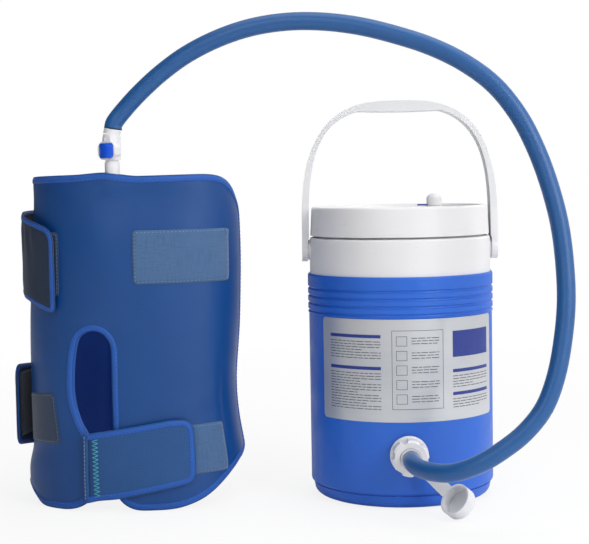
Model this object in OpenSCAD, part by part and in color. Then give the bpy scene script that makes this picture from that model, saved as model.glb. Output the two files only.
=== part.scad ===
// Gravity-fed hot and cold therapy set: an insulated cooler jug with a bail
// handle, a foam-sleeved water hose with a thumb-latch coupler, and a
// water-filled knee wrap. Millimetres, +Z up, origin at the centre of the
// cooler's base. The cooler's front, with label and outlet, faces -Y.

/* [Cooler] */
// Outer radius of the barrel wall
body_r = 87.5; // [86:0.5:89]
// Height at which the white collar meets the barrel
barrel_top = 212; // [208:1:214]
// Height of the collar's top face
collar_top = 246; // [244:1:248]
// Outer radius of the collar
collar_r = 86; // [85:0.5:86.5]
// Radius of the tank inside the liner
tank_r = 75; // [72:0.5:76]
// Height of the tank's floor
tank_floor = 24; // [20:1:28]
// Height of the lid's rim
lid_top = 275; // [272:1:280]

/* [Handle] */
// Height of the bail's pivots
pivot_z = 234; // [232:0.5:236]
// Height of the bail's highest point
bail_top = 374.5; // [360:0.5:390]
// Width of the bail's arms, front to back
bail_w = 20; // [16:1:20]

/* [Outlet] */
// Height of the outlet's axis above the base
outlet_z = 51; // [46:1:58]
// Radius of the outlet's flange
flange_r = 17.5; // [17:0.5:20]
// Outer radius of the lobed union nut
nut_r = 16.6; // [15.5:0.1:16.6]

/* [Hose] */
// Outer diameter of the foam-sleeved hose
hose_d = 16; // [15:0.5:16]

/* [Knee wrap] */
// Distance from the cooler's axis to the middle of the wrap
wrap_x = -254; // [-260:1:-250]
// Half of the wrap's width
wrap_a = 101; // [98:1:104]
// Half of the wrap's depth
wrap_b = 74; // [70:1:76]
// Height of the wrap's top edge
wrap_h = 308; // [306:1:310]
// Thickness of the wrap's wall
wall_t = 7.3; // [6.5:0.1:8]
// Width of the edge binding
bind_w = 6.5; // [5:0.5:8]

/* [Hidden] */
$fn = 96;

blue = [0.20, 0.40, 0.78];
white = [0.92, 0.92, 0.93];
navy = [0.14, 0.27, 0.48];
royal = [0.22, 0.36, 0.72];
patch_blue = [0.28, 0.42, 0.60];
big = 200;

// Barrel, foam and liner
shell_t = 2.2;
rib_r = body_r + 0.8;
groove_count = 4;
groove_z = 177.3;
groove_pitch = 7.15;
foot_top = 11.6;
liner_t = 2;
tank_corner = 3.5;
spigot_r = body_r - shell_t - 0.1;
spigot_drop = 8;
collar_wall = 3.5;
collar_lid_t = 3.2;
neck_in = tank_r + liner_t;
neck_r = 80;
neck_top = collar_top + 12;

// Lid
lid_gap = 1.8;
lid_low = collar_top + lid_gap;
skirt_in = 82.7;
dish_z = lid_top - 4;
deck_t = 2.2;
seal_t = 2.6;
plug_r = tank_r - 1.5;
plug_low = collar_top + 6;
vent_x = 31.5;
vent_y = -22;
stem_r = 2.9;
stem_hole = 3.2;

// Handle
bail_a = 93.2;
bail_in = 86.6;
bail_z0 = 245;
arch_t = 6.5;
grip_t = 10.5;
grip_bow = 1.2;
grip_reach = 42;
hub_in = collar_r + 1.6;
hub_out = hub_in + 5.8;
boss_r = 9.5;
pin_r = 5;
cap_recess = 2.2;
pin_end = hub_out - cap_recess + 0.4;
pin_play = 0.3;

// Outlet: w is the distance from the cooler's axis towards the front
w_in = 64.5;
w_gasket = body_r + 1.5;
w_flange = w_gasket + 4;
w_nose = w_flange + 11;
w_nut = w_flange + 2;
tube_r = 8.5;
nose_r = 10.5;
bore_r = 5.5;
nut_h = 13.5;
nut_lobes = 6;
hole_r = 9;

// Tether and cap, which lies on the ground in front of the barrel
tether_angle = 42.5;
cap_at = [36.5, -126, 18.4];
cap_tilt = 54.4;
cap_turn = -142;
cap_r = 14.8;
cap_depth = 12.5;
cap_wall = 1.8;

// Coupler on top of the wrap
coupler_x = -265;
coupler_y = -66;
coupler_turn = -25;
stub_r = 6.8;
stub_low = 299;
stub_top = 322;
tip_r = 4.1;
tip_top = 334;
coupler_r = 8;
coupler_low = stub_top + 0.3;
coupler_top = 343;
button_z = 330.5;
button_h = 13;
button_travel = 2.5;

// Knee wrap: an oval tube of cloth, open at the back
oval_n = 2.35;
oval_steps = 72;
strap_shift = -3.4;
strap_rise = 3;
strap_half = 1.3;
patch_t = 0.8;
hook_t = 0.9;

// Middle line of the hose, from the outlet, over the cooler, to the coupler
hose_route = [
  [0, -104.5, 51], [0, -124, 51], [4, -142, 50], [14, -160, 50], [30, -174, 52],
  [50, -182, 60], [70, -184, 72], [90, -182, 87], [107, -178, 107], [118, -173, 133],
  [125, -167, 163], [129, -161, 195], [129, -154, 228], [126, -148, 260], [119, -142, 292],
  [109, -136, 323], [95, -130, 353], [75, -124, 380], [50, -119, 400], [22, -114, 415],
  [-8, -109, 426], [-40, -103, 435], [-72, -98, 440], [-104, -93, 441], [-136, -89, 437],
  [-166, -85, 428], [-194, -80, 415], [-218, -75, 399], [-238, -71, 382], [-253, -67, 367],
  [-262, -66, 356], [-263.5, -66, 350]
];
hose_sides = 12;

// ---------------------------------------------------------------- helpers

function arc(centre, r, from, to, steps = 8) =
  [for (i = [0 : steps]) let (t = from + (to - from) * i / steps)
    [centre[0] + r * cos(t), centre[1] + r * sin(t)]];

function ellipse_arc(centre, rx, ry, from, to, steps = 8) =
  [for (i = [0 : steps]) let (t = from + (to - from) * i / steps)
    [centre[0] + rx * cos(t), centre[1] + ry * sin(t)]];

function signed_power(v, p) = sign(v) * pow(abs(v), p);

// Superellipse between two parameter angles
function super_arc(a, b, n, from, to, steps) =
  [for (i = [0 : steps]) let (t = from + (to - from) * i / steps)
    [a * signed_power(cos(t), 2 / n), b * signed_power(sin(t), 2 / n)]];

// Reversed list of points
function reversed(points) = [for (i = [len(points) - 1 : -1 : 0]) points[i]];

// Closed oval of the wrap, grown outward by off
function oval(off, shift = 0, rise = 0) =
  [for (i = [0 : oval_steps - 1]) let (t = 360 * i / oval_steps)
    [shift + (wrap_a + off) * signed_power(cos(t), 2 / oval_n),
     (wrap_b + off + rise) * signed_power(sin(t), 2 / oval_n)]];

// Moves its children onto the outlet's axis: local +Z points to the front
module on_outlet() {
  translate([0, 0, outlet_z]) rotate([90, 0, 0]) children();
}

module disc(r, low, high) {
  translate([0, 0, low]) cylinder(r = r, h = high - low);
}

module ring(r_in, r_out, low, high) {
  difference() {
    disc(r_out, low, high);
    disc(r_in, low - 1, high + 1);
  }
}

// ---------------------------------------------------------------- barrel

// One rib groove of the barrel's profile, from below to above
function groove(z) = [
  [rib_r, z - 1.5], [rib_r - 0.9, z - 0.9], [rib_r - 1.3, z],
  [rib_r - 0.9, z + 0.9], [rib_r, z + 1.5]
];

function groove_points() =
  [for (i = [0 : groove_count - 1]) each groove(groove_z + i * groove_pitch)];

function barrel_profile() = concat(
  [[0, 0], [60, 0], [61, 1.2], [66, 1.2], [67, 0]],
  arc([body_r - 11, 8], 8, -90, 0, 6),
  [[body_r - 2.1, foot_top], [body_r - 2.9, foot_top + 0.3], [body_r - 2.9, foot_top + 1.1],
   [body_r - 0.5, foot_top + 1.9], [body_r, foot_top + 3.2], [body_r, groove_z - 3],
   [rib_r, groove_z - 2.2]],
  groove_points(),
  [[rib_r, barrel_top - 1.6], [rib_r - 0.9, barrel_top], [body_r - shell_t, barrel_top],
   [body_r - shell_t, foot_top + 3], [body_r - 6, 6], [body_r - 14, 4.2], [0, 4.2]]
);

module outer_shell() {
  color(blue) difference() {
    rotate_extrude() polygon(barrel_profile());
    on_outlet() disc(hole_r, 60, 100);
  }
}

module insulation_foam() {
  color("khaki") difference() {
    rotate_extrude() polygon([
      [0, 4.2], [body_r - 14, 4.2], [body_r - 6, 6], [body_r - shell_t, foot_top + 3],
      [body_r - shell_t, barrel_top - spigot_drop], [collar_r - collar_wall, barrel_top - spigot_drop],
      [collar_r - collar_wall, collar_top - collar_lid_t], [neck_in, collar_top - collar_lid_t],
      [neck_in, tank_floor - liner_t + tank_corner], [neck_in - tank_corner, tank_floor - liner_t],
      [0, tank_floor - liner_t]
    ]);
    on_outlet() disc(hole_r, 60, 100);
  }
}

module inner_liner() {
  color(white) difference() {
    rotate_extrude() polygon(concat(
      [[0, tank_floor - liner_t], [neck_in - tank_corner, tank_floor - liner_t],
       [neck_in, tank_floor - liner_t + tank_corner], [neck_in, collar_top - collar_lid_t],
       [tank_r, collar_top - collar_lid_t]],
      arc([tank_r - tank_corner, tank_floor + tank_corner], tank_corner, 0, -90, 5),
      [[0, tank_floor]]
    ));
    on_outlet() disc(hole_r, 60, 100);
  }
}

module collar() {
  color(white) union() {
    rotate_extrude() polygon(concat(
      [[collar_r - collar_wall, barrel_top - spigot_drop], [spigot_r, barrel_top - spigot_drop],
       [spigot_r, barrel_top], [collar_r, barrel_top]],
      arc([collar_r - 2.5, collar_top - 2.5], 2.5, 0, 90, 5),
      [[neck_r, collar_top], [neck_r, neck_top - 1], [neck_r - 1, neck_top], [neck_in, neck_top],
       [neck_in, collar_top], [tank_r, collar_top], [tank_r, collar_top - collar_lid_t],
       [collar_r - collar_wall, collar_top - collar_lid_t]]
    ));
    for (side = [0, 180]) rotate([0, 0, side]) translate([0, 0, pivot_z]) rotate([0, 90, 0]) {
      disc(boss_r, collar_r - 2.2, hub_in - 0.2);
      disc(pin_r, hub_in - 1, pin_end);
    }
  }
}

module pivot_caps() {
  color(white) for (side = [0, 180]) rotate([0, 0, side])
    translate([pin_end, 0, pivot_z]) rotate([0, 90, 0])
      cylinder(r1 = 7.5, r2 = 7, h = 1.5);
}

label_low = 80.4;
label_high = 174;
label_left = -149;
label_right = -23;
label_t = 0.5;
label_corner = 4;

// Label outline in the front view; the wall's curve narrows its round corners
module label_outline() {
  x0 = body_r * cos(label_left);
  x1 = body_r * cos(label_right);
  rx0 = -label_corner * sin(label_left);
  rx1 = -label_corner * sin(label_right);
  polygon(concat(
    ellipse_arc([x1 - rx1, label_high - label_corner], rx1, label_corner, 90, 0, 5),
    ellipse_arc([x1 - rx1, label_low + label_corner], rx1, label_corner, 0, -90, 5),
    ellipse_arc([x0 + rx0, label_low + label_corner], rx0, label_corner, -90, -180, 5),
    ellipse_arc([x0 + rx0, label_high - label_corner], rx0, label_corner, 180, 90, 5)
  ));
}

module label_plate() {
  color("silver") intersection() {
    ring(body_r, body_r + label_t, label_low - 5, label_high + 5);
    rotate([90, 0, 0]) linear_extrude(2 * body_r) label_outline();
  }
}

// ---------------------------------------------------------------- handle

// Underside of the bail at x: a thin arch with a thicker grip in its middle
function bail_under(x, arch_z) = min(arch_z, bail_top - grip_t + grip_bow * pow(x / grip_reach, 2));

function bail_outline() = concat(
  [[hub_out, pivot_z - 11]],
  [for (p = super_arc(bail_a, bail_top - bail_z0, 2.9, 0, 180, 44)) [p[0], p[1] + bail_z0]],
  [[-hub_out, pivot_z - 11], [-hub_in, pivot_z - 11], [-hub_in, pivot_z + boss_r + 0.5]],
  reversed([for (p = super_arc(bail_in, bail_top - arch_t - bail_z0, 3.2, 0, 180, 44))
    [p[0], bail_under(p[0], p[1] + bail_z0)]]),
  [[hub_in, pivot_z + boss_r + 0.5], [hub_in, pivot_z - 11]]
);

module handle() {
  half = bail_w / 2;
  grip_half = half + 2.5;
  hub_meet = acos(half / 11);
  color(white) difference() {
    intersection() {
      translate([0, grip_half + 1, 0]) rotate([90, 0, 0])
        linear_extrude(2 * grip_half + 2) polygon(bail_outline());
      translate([-100, 0, 0]) rotate([90, 0, 90]) linear_extrude(200) polygon(concat(
        arc([0, pivot_z], 11, 180 - hub_meet, 360 + hub_meet, 30),
        [[half, 325], [grip_half, 350], [grip_half, 400], [-grip_half, 400], [-grip_half, 350],
         [-half, 325]]
      ));
    }
    translate([-100, 0, pivot_z]) rotate([0, 90, 0]) cylinder(r = pin_r + pin_play, h = 200);
    for (side = [0, 180]) rotate([0, 0, side]) translate([hub_out - cap_recess, 0, pivot_z])
      rotate([0, 90, 0]) cylinder(r = 7.9, h = 20);
  }
}

// ---------------------------------------------------------------- lid

module vent_hole() {
  translate([vent_x, vent_y, 0]) disc(stem_hole, plug_low - 10, lid_top + 10);
}

module lid_seal() {
  color("lightsteelblue") ring(neck_in - 0.5, neck_r + 0.5, neck_top, neck_top + seal_t);
}

module lid_shell() {
  color(white) difference() {
    union() {
      rotate_extrude() polygon(concat(
        [[skirt_in, lid_low], [85.2, lid_low], [83.9, lid_top - 2.6]],
        arc([81.3, lid_top - 2.6], 2.6, 10, 90, 5),
        [[78, lid_top], [76, dish_z], [0, dish_z], [0, dish_z - deck_t], [skirt_in, dish_z - deck_t]]
      ));
      translate([vent_x, vent_y, 0]) disc(8, dish_z - 1, lid_top);
    }
    vent_hole();
  }
}

lid_foam_low = plug_low + 2;
liner_flange = neck_top + seal_t;

module lid_foam() {
  color("khaki") difference() {
    rotate_extrude() polygon([
      [0, lid_foam_low], [plug_r - 2.3, lid_foam_low], [plug_r - 2, liner_flange + 1.8],
      [neck_r, liner_flange + 1.8], [neck_r, dish_z - deck_t], [0, dish_z - deck_t]
    ]);
    vent_hole();
  }
}

module lid_liner() {
  color(white) difference() {
    rotate_extrude() polygon([
      [0, plug_low], [plug_r - 0.5, plug_low], [plug_r, liner_flange], [neck_r, liner_flange],
      [neck_r, liner_flange + 1.8], [plug_r - 2, liner_flange + 1.8], [plug_r - 2.3, lid_foam_low],
      [0, lid_foam_low]
    ]);
    vent_hole();
  }
}

// Hollow dome on a stem. Its skirt covers the seal and has a notch for the seal's tab
module vent_plug() {
  skirt = lid_top + 0.3;
  knob = lid_top + 2.4;
  color(white) translate([vent_x, vent_y, 0]) difference() {
    rotate_extrude() polygon(concat(
      [[0, plug_low - 8], [3.6, plug_low - 8], [4.4, plug_low - 6.6], [4.4, plug_low - 5.6],
       [stem_r, plug_low - 5.6], [stem_r, knob], [6.3, knob], [6.3, skirt], [7, skirt],
       [7.1, skirt + 0.6], [7.1, knob + 3.8]],
      ellipse_arc([0, knob + 3.8], 7.1, 5.2, 10, 90, 7)
    ));
    translate([-10, -3.3, lid_top - 1]) cube([5, 6.6, 3.4]);
  }
}

module vent_seal() {
  color(royal) translate([vent_x, vent_y, lid_top]) difference() {
    union() {
      disc(6, 0, 2);
      translate([-15.5, -3, 0]) cube([11, 6, 1.4]);
    }
    disc(stem_hole, -1, 3);
  }
}

// ---------------------------------------------------------------- outlet

module outlet_body() {
  color(white) on_outlet() difference() {
    union() {
      disc(tube_r, w_in, w_flange);
      disc(flange_r, w_gasket, w_flange - 1.2);
      translate([0, 0, w_flange - 1.2]) cylinder(r1 = flange_r, r2 = flange_r - 1.2, h = 1.2);
      disc(nose_r, w_flange, w_nose);
    }
    disc(bore_r, w_in - 1, w_nose + 1);
  }
}

module outlet_gasket() {
  color("dimgray") difference() {
    on_outlet() ring(tube_r, flange_r - 1.5, body_r - 4, w_gasket);
    cylinder(r = body_r, h = 2 * outlet_z, $fn = 360);
  }
}

module inner_gasket() {
  color("dimgray") intersection() {
    on_outlet() ring(tube_r, 12.5, tank_r - 3, tank_r + 1);
    cylinder(r = tank_r, h = 2 * outlet_z, $fn = 360);
  }
}

module outlet_inner_nut() {
  color(white) on_outlet() difference() {
    translate([0, 0, tank_r - 8.5]) cylinder(r = 14.5, h = 5.5, $fn = 6);
    disc(tube_r, tank_r - 10, tank_r);
  }
}

module outlet_nut() {
  color(white) on_outlet() difference() {
    union() {
      disc(nut_r, w_nut, w_nut + nut_h - 1.5);
      translate([0, 0, w_nut + nut_h - 1.5]) cylinder(r1 = nut_r, r2 = nut_r - 2, h = 1.5);
    }
    disc(nose_r + 0.4, w_nut - 1, w_nose + 2);
    disc(9.9, w_nose, w_nut + nut_h + 1);
    for (i = [0 : nut_lobes - 1]) rotate([0, 0, 50 + i * 360 / nut_lobes])
      translate([nut_r + 2.2, 0, w_nut - 1]) cylinder(r = 4.6, h = nut_h + 2);
  }
}

module hose_ferrule() {
  color(white) on_outlet() difference() {
    union() {
      disc(nose_r - 0.2, w_nose + 0.1, w_nose + 1.8);
      disc(9.5, w_nose + 1, w_nose + 6.5);
    }
    disc(hose_d / 2 + 0.05, w_nose - 1, w_nose + 8);
  }
}

// The tether is one moulding: a ring on the outlet, a strap and the cap
module tether_strap() {
  low = -w_flange - 0.1;
  translate([0, 0, outlet_z]) rotate([0, tether_angle, 0]) intersection() {
    linear_extrude(20, center = true) polygon([
      [10.9, low], [17.5, low], [24, low - 4.6], [32, low - 11], [42.6, low - 19.3],
      [42, low - 21.6], [31, low - 12.9], [23, low - 6.4], [16.4, low - 1.5], [10.9, low - 1.5]
    ]);
    rotate([90, 0, 0]) translate([0, 0, -150]) linear_extrude(300)
      polygon([[10, -8.5], [26, -6.1], [44, -6], [44, 6], [26, 6.1], [10, 8.5]]);
  }
}

module cap_frame() {
  translate(cap_at) rotate([0, cap_tilt, cap_turn]) children();
}

module tether_cap() {
  color(white) union() {
    on_outlet() ring(nose_r + 0.06, 14.4, w_flange + 0.1, w_flange + 1.6);
    tether_strap();
    cap_frame() rotate_extrude() polygon(concat(
      [[0, -cap_depth]],
      arc([cap_r - 3, 3 - cap_depth], 3, -90, 0, 5),
      [[cap_r, 0], [cap_r - cap_wall, 0], [cap_r - cap_wall - 0.3, cap_wall - cap_depth],
       [0, cap_wall - cap_depth]]
    ));
  }
}

module cap_seal() {
  color("lightgray") cap_frame() disc(cap_r - cap_wall - 0.4, cap_wall - cap_depth, cap_wall - cap_depth + 1.2);
}

// ---------------------------------------------------------------- hose

function unit(v) = v / norm(v);
function route_last() = len(hose_route) - 1;
function tangent(i) = unit(hose_route[min(i + 1, route_last())] - hose_route[max(i - 1, 0)]);
function carried(normal, t) = unit(normal - (normal * t) * t);
function normals(i = 0, normal = [0, 0, 1]) =
  let (here = carried(normal, tangent(i)))
  i == route_last() ? [here] : concat([here], normals(i + 1, here));

// Rings of the swept tube, each square to the route
function hose_points() =
  let (side_on = normals())
  [for (i = [0 : route_last()]) for (k = [0 : hose_sides - 1])
    let (turn = 360 * k / hose_sides)
    hose_route[i] + hose_d / 2 * (cos(turn) * side_on[i]
      + sin(turn) * cross(tangent(i), side_on[i]))];

function hose_faces() = concat(
  [[for (k = [0 : hose_sides - 1]) k]],
  [for (i = [0 : route_last() - 1]) for (k = [0 : hose_sides - 1])
    let (next = (k + 1) % hose_sides, a = i * hose_sides, b = a + hose_sides)
    [a + k, b + k, b + next, a + next]],
  [[for (k = [hose_sides - 1 : -1 : 0]) route_last() * hose_sides + k]]
);

module hose() {
  color([0.28, 0.43, 0.64]) polyhedron(hose_points(), hose_faces());
}

// ---------------------------------------------------------------- coupler

// Coupler frame: on the stub's axis, with the button's face towards local -Y
module on_coupler() {
  translate([coupler_x, coupler_y, 0]) rotate([0, 0, coupler_turn]) children();
}

// Pocket in the housing for the thumb button and its travel
module button_pocket() {
  intersection() {
    translate([-7.6, -20, button_z - button_h / 2 - 0.2]) cube([15.2, 15.4, button_h + 0.4]);
    translate([0, 0, button_z]) rotate([90, 0, 0]) cylinder(r = 8.9, h = 30);
  }
}

module coupler_body() {
  color(white) on_coupler() difference() {
    union() {
      translate([0, 0, coupler_low]) cylinder(r = coupler_r, h = 6);
      translate([0, 0, coupler_low + 6]) rotate([0, 0, 22.5])
        cylinder(r = coupler_r + 0.5, h = coupler_top - coupler_low - 6, $fn = 8);
      intersection() {
        translate([0, 1, button_z]) rotate([90, 0, 0]) cylinder(r = 9.6, h = 10.5);
        translate([-9, -12, coupler_low]) cube([18, 24, 16.5]);
      }
    }
    disc(tip_r + 0.3, coupler_low - 1, tip_top + 1);
    disc(2.6, coupler_low, coupler_top + 1);
    button_pocket();
    translate([-5.5, -20, button_z - 0.7]) cube([11, 40, 1.4]);
  }
}

module hose_barb() {
  color(white) on_coupler() difference() {
    union() {
      disc(coupler_r - 0.3, coupler_top, coupler_top + 2.5);
      rotate([0, 0, -coupler_turn]) translate([0, 0, coupler_top + 2]) rotate([0, 14, 0])
        disc(coupler_r - 0.3, 0, 4.8);
    }
    disc(2.6, coupler_top - 1, coupler_top + 8);
  }
}

module coupler_button() {
  low = button_z - button_h / 2;
  color("royalblue") on_coupler() difference() {
    intersection() {
      translate([-7.4, -13, low]) cube([14.8, 5.8, button_h]);
      translate([0, -3.8, 0]) disc(9, low, low + button_h);
      translate([0, 0, button_z]) rotate([90, 0, 0]) cylinder(r = 8.7, h = 20);
    }
    translate([-5.4, -8.7, button_z - 0.5]) cube([10.8, 5, 1]);
  }
}

// Slotted steel plate on the button, round the stub's tip
module latch_plate() {
  slot_r = tip_r + 0.4;
  color("silver") on_coupler() difference() {
    translate([-5.3, -8.7, button_z - 0.5]) cube([10.6, 14.3, 1]);
    for (y = [0, -button_travel - 0.1]) translate([0, y, 0]) disc(slot_r, button_z - 2, button_z + 2);
    translate([-slot_r, -button_travel - 0.1, button_z - 2])
      cube([2 * slot_r, button_travel + 0.1, 4]);
  }
}

module button_spring() {
  color("silver") on_coupler() translate([0, -7.2, button_z + 4])
    rotate([-90, 0, 0]) ring(0.9, 1.7, 0, 2.6);
}

module coupler_seal() {
  color("dimgray") on_coupler() translate([0, 0, stub_top + 3.5])
    rotate_extrude() translate([tip_r - 0.6, 0]) circle(r = 0.75, $fn = 24);
}

module wrap_stub() {
  color(white) on_coupler() difference() {
    union() {
      disc(stub_r, stub_low, stub_top - 2);
      disc(stub_r - 0.8, stub_top - 2, stub_top);
      disc(tip_r, stub_top, tip_top);
    }
    disc(2.6, stub_low - 1, tip_top + 1);
    translate([0, 0, stub_top + 3.5]) rotate_extrude() translate([tip_r - 0.6, 0])
      circle(r = 0.75, $fn = 24);
  }
}

// ---------------------------------------------------------------- wrap

// Wall of the wrap between two offsets from its outer face
module oval_wall(inner, outer, shift = 0, rise = 0) {
  translate([wrap_x, 0, 0]) linear_extrude(wrap_h + 10) difference() {
    polygon(oval(outer, shift, rise));
    polygon(oval(inner, shift, rise));
  }
}

// Cuts made by an outline in the front view, through one half of the wrap
module front_outline(points) {
  translate([wrap_x, 0, 0]) rotate([90, 0, 0]) linear_extrude(big) polygon(points);
}

module back_outline(points) {
  translate([wrap_x, big, 0]) rotate([90, 0, 0]) linear_extrude(big) polygon(points);
}

slot_left = -30;
slot_right = -16;
hole_top = 167;
hole_bind = 5.4;
back_end = -30;

// Lower right corner of the wrap, in the front view
right_lobe = [
  [wrap_a, 44], [97, 38], [91, 30], [84, 22], [76, 14.5], [67, 8.5], [56, 4], [44, 1], [32, 0]
];

// Front of the wrap: top edge, rounded top right corner and two bottom lobes.
// k is the inset from the edge, measured along the cloth.
function front_points(k) = concat(
  [[-big, wrap_h - k], [-45, wrap_h + 1 - k], [-20, wrap_h + 3 - k], [10, wrap_h - 1 - k],
   [68, wrap_h - k]],
  ellipse_arc([70, 256], 31.5 - 0.14 * k, 52 - k, 90, 0, 8),
  [[wrap_a + 12, 256], [wrap_a + 12, 45 + k]],
  [for (p = right_lobe) [p[0] - 0.2 * k, p[1] + k]],
  ellipse_arc([9, 25], 25 - k, 25 - k, -90, -180, 5),
  [[slot_right + k, 50], [slot_left - k, 50]],
  ellipse_arc([-64, 30], 34 - k, 30 - k, 0, -90, 6),
  ellipse_arc([-84, 20 + k], 17, 20, -90, -180, 6),
  [[-big, 20 + k]]
);

// Opening over the kneecap and the slot below it, grown by k
function opening_points(k) = concat(
  [[slot_right + k, 50], [slot_right + k, 150]],
  arc([slot_right - 17, hole_top - 17], 17 + k, 0, 155, 9),
  [[-52 - k, 140], [-53.2 - k, 126], [-53.4 - k, 112], [-51.6 - k, 97], [-46.5 - k, 82],
   [-38 - k, 68], [slot_left + 1 - k, 58], [slot_left - k, 50]]
);

// Back of the wrap: the left flap, seen from the front
function back_points(k) = concat(
  [[-big, wrap_h - k]],
  ellipse_arc([back_end - 14, wrap_h - 20], 14 - k, 20 - k, 90, 0, 5),
  ellipse_arc([back_end - 20, 20], 20 - k, 20 - k, 0, -90, 6),
  [[-82, k], [-95, 8 + k], [-big, 20 + k]]
);

module front_region(k) {
  difference() {
    front_outline(front_points(k));
    if (k > 0) translate([wrap_x, -k, -1]) cube([big, big, 2 * big]);
  }
}

module wrap_region(k) {
  union() {
    front_region(k);
    back_outline(back_points(k));
  }
}

module stub_pocket() {
  on_coupler() disc(stub_r, stub_low, wrap_h + 20);
}

module wrap_layer(inner, outer) {
  difference() {
    intersection() {
      oval_wall(inner, outer);
      wrap_region(bind_w);
    }
    front_outline(opening_points(hole_bind));
    stub_pocket();
  }
}

module wrap_cover() {
  color(navy) wrap_layer(-2, 0);
}

module wrap_bladder() {
  color("lightblue") wrap_layer(-wall_t + 2, -2);
}

module wrap_lining() {
  color([0.10, 0.18, 0.34]) wrap_layer(-wall_t, -wall_t + 2);
}

module wrap_binding() {
  color(royal) difference() {
    intersection() {
      oval_wall(-wall_t - 0.3, 0.3);
      difference() {
        wrap_region(0);
        wrap_region(bind_w);
      }
    }
    front_outline(opening_points(hole_bind));
    stub_pocket();
  }
}

module opening_binding() {
  color(royal) intersection() {
    oval_wall(-wall_t - 0.3, 0.3);
    difference() {
      front_outline(opening_points(hole_bind));
      front_outline(opening_points(0));
    }
  }
}

// Patch outline in the front view, with small round corners
function patch_points(u0, u1, z0, z1, r = 2.5) = concat(
  arc([u1 - r, z1 - r], r, 90, 0, 3), arc([u1 - r, z0 + r], r, 0, -90, 3),
  arc([u0 + r, z0 + r], r, -90, -180, 3), arc([u0 + r, z1 - r], r, 180, 90, 3)
);

module loop_patch(points) {
  color(patch_blue) intersection() {
    oval_wall(0, patch_t);
    front_outline(points);
  }
}

module loop_patch_upper() {
  loop_patch(patch_points(6.5, 91, 209, 258));
}

module loop_patch_lower() {
  loop_patch([[20, 77], [84, 78], [85, 77], [86.5, 33], [85.5, 32], [20, 31]]);
}

module loop_patch_side_upper() {
  loop_patch(patch_points(-99, -64.5, 198, 257));
}

module loop_patch_side_lower() {
  loop_patch([[-99, 104], [-73, 108], [-71.5, 106], [-66.5, 63], [-68, 61], [-99, 59]]);
}

// ---------------------------------------------------------------- straps

// Line where each strap end folds, on the outer face of the back strap
tab_hinge_u = -90;
tab_gap = 0.4;
upper_low = 198;
upper_high = 276;
lower_low = 45;
lower_high = 125;
tab_bind = 5;

module strap_wall(inner, outer) {
  oval_wall(inner, outer, strap_shift, strap_rise);
}

module back_strap(low, high) {
  color(navy) intersection() {
    strap_wall(-strap_half, strap_half);
    back_outline([[tab_hinge_u, low], [big, low], [big, high], [tab_hinge_u, high]]);
  }
}

module upper_strap() {
  back_strap(upper_low, upper_high);
}

module lower_strap() {
  back_strap(lower_low, lower_high);
}

// Upper strap end: it slopes down as it comes round to the front left
function upper_tab_points(k) = concat(
  [[-big, upper_high - k], [-104, upper_high - 1 - k], [-88, upper_high - 9 - k]],
  ellipse_arc([-79, upper_high - 28], 12 - k, 15 - k, 80, 0, 4),
  [[-67 - k, 186 + k], [-68.5 - k, 183 + k], [-72 - 0.5 * k, 183 + k], [-94, 193 + k],
   [-104, upper_low + k], [-big, upper_low + k]]
);

module upper_tab_region(k) {
  union() {
    front_outline(upper_tab_points(k));
    back_outline([
      [-big, upper_low + k], [tab_hinge_u - tab_gap, upper_low + k],
      [tab_hinge_u - tab_gap, upper_high - k], [-big, upper_high - k]
    ]);
  }
}

module upper_strap_tab() {
  color(navy) intersection() {
    strap_wall(-strap_half, strap_half);
    upper_tab_region(tab_bind);
  }
}

module upper_tab_binding() {
  color(royal) intersection() {
    strap_wall(-strap_half - 0.2, strap_half + 0.2);
    difference() {
      upper_tab_region(0);
      upper_tab_region(tab_bind);
    }
  }
}

module upper_hook_patch() {
  color("slategray") intersection() {
    strap_wall(-strap_half - hook_t, -strap_half);
    front_outline(patch_points(-97, -74, 201, 250));
  }
}

// Lower strap end: it stands off the wrap and points to the front
flap_start_y = 46;
flap_end_y = -22;
flap_out = 11;

// Line of the flap, seen from above: the strap's oval, flaring outward
function flap_line(off) = [
  for (i = [0 : 12]) let (s = i / 12, y = flap_start_y + (flap_end_y - flap_start_y) * s)
    [strap_shift - flap_out * s * s - (wrap_a + off)
       * pow(1 - pow(abs(y) / (wrap_b + strap_rise + off), oval_n), 1 / oval_n), y]
];

module flap_wall(inner, outer) {
  translate([wrap_x, 0, 0]) linear_extrude(wrap_h)
    polygon(concat(flap_line(outer), reversed(flap_line(inner))));
}

// Side outline of the flap: local x runs to the front
module flap_region(k) {
  r = max(10 - k, 1);
  translate([wrap_x, 0, 0]) rotate([90, 0, -90]) translate([0, 0, 50]) linear_extrude(big)
    polygon(concat(
      [[-big, lower_low + k], [-big, lower_high - k], [-flap_start_y, lower_high - k]],
      arc([-flap_end_y - k - r, 130 - k - r], r, 90, 0, 4),
      arc([-flap_end_y - k - r, 53 + k + r], r, 0, -90, 4),
      [[-flap_start_y, lower_low + k]]
    ));
}

module fold_cut() {
  translate([wrap_x + tab_hinge_u - tab_gap, -1, 0]) cube([big, big, wrap_h + 50]);
}

module lower_strap_tab() {
  color(navy) difference() {
    intersection() {
      flap_wall(-strap_half, strap_half);
      flap_region(tab_bind);
    }
    fold_cut();
  }
}

module lower_tab_binding() {
  color(royal) difference() {
    intersection() {
      flap_wall(-strap_half - 0.2, strap_half + 0.2);
      flap_region(0);
    }
    flap_region(tab_bind);
    fold_cut();
  }
}

module lower_hook_patch() {
  color("slategray") intersection() {
    flap_wall(-strap_half - hook_t, -strap_half);
    flap_region(tab_bind + 3);
    translate([wrap_x - big, flap_end_y, 0]) cube([big, 45, wrap_h]);
  }
}

// Front strap over the slot, sewn to the left lobe and closed on the right
front_in = 2.6;
front_t = 2.6;
front_left = -42;
front_fold = -37.4;

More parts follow.
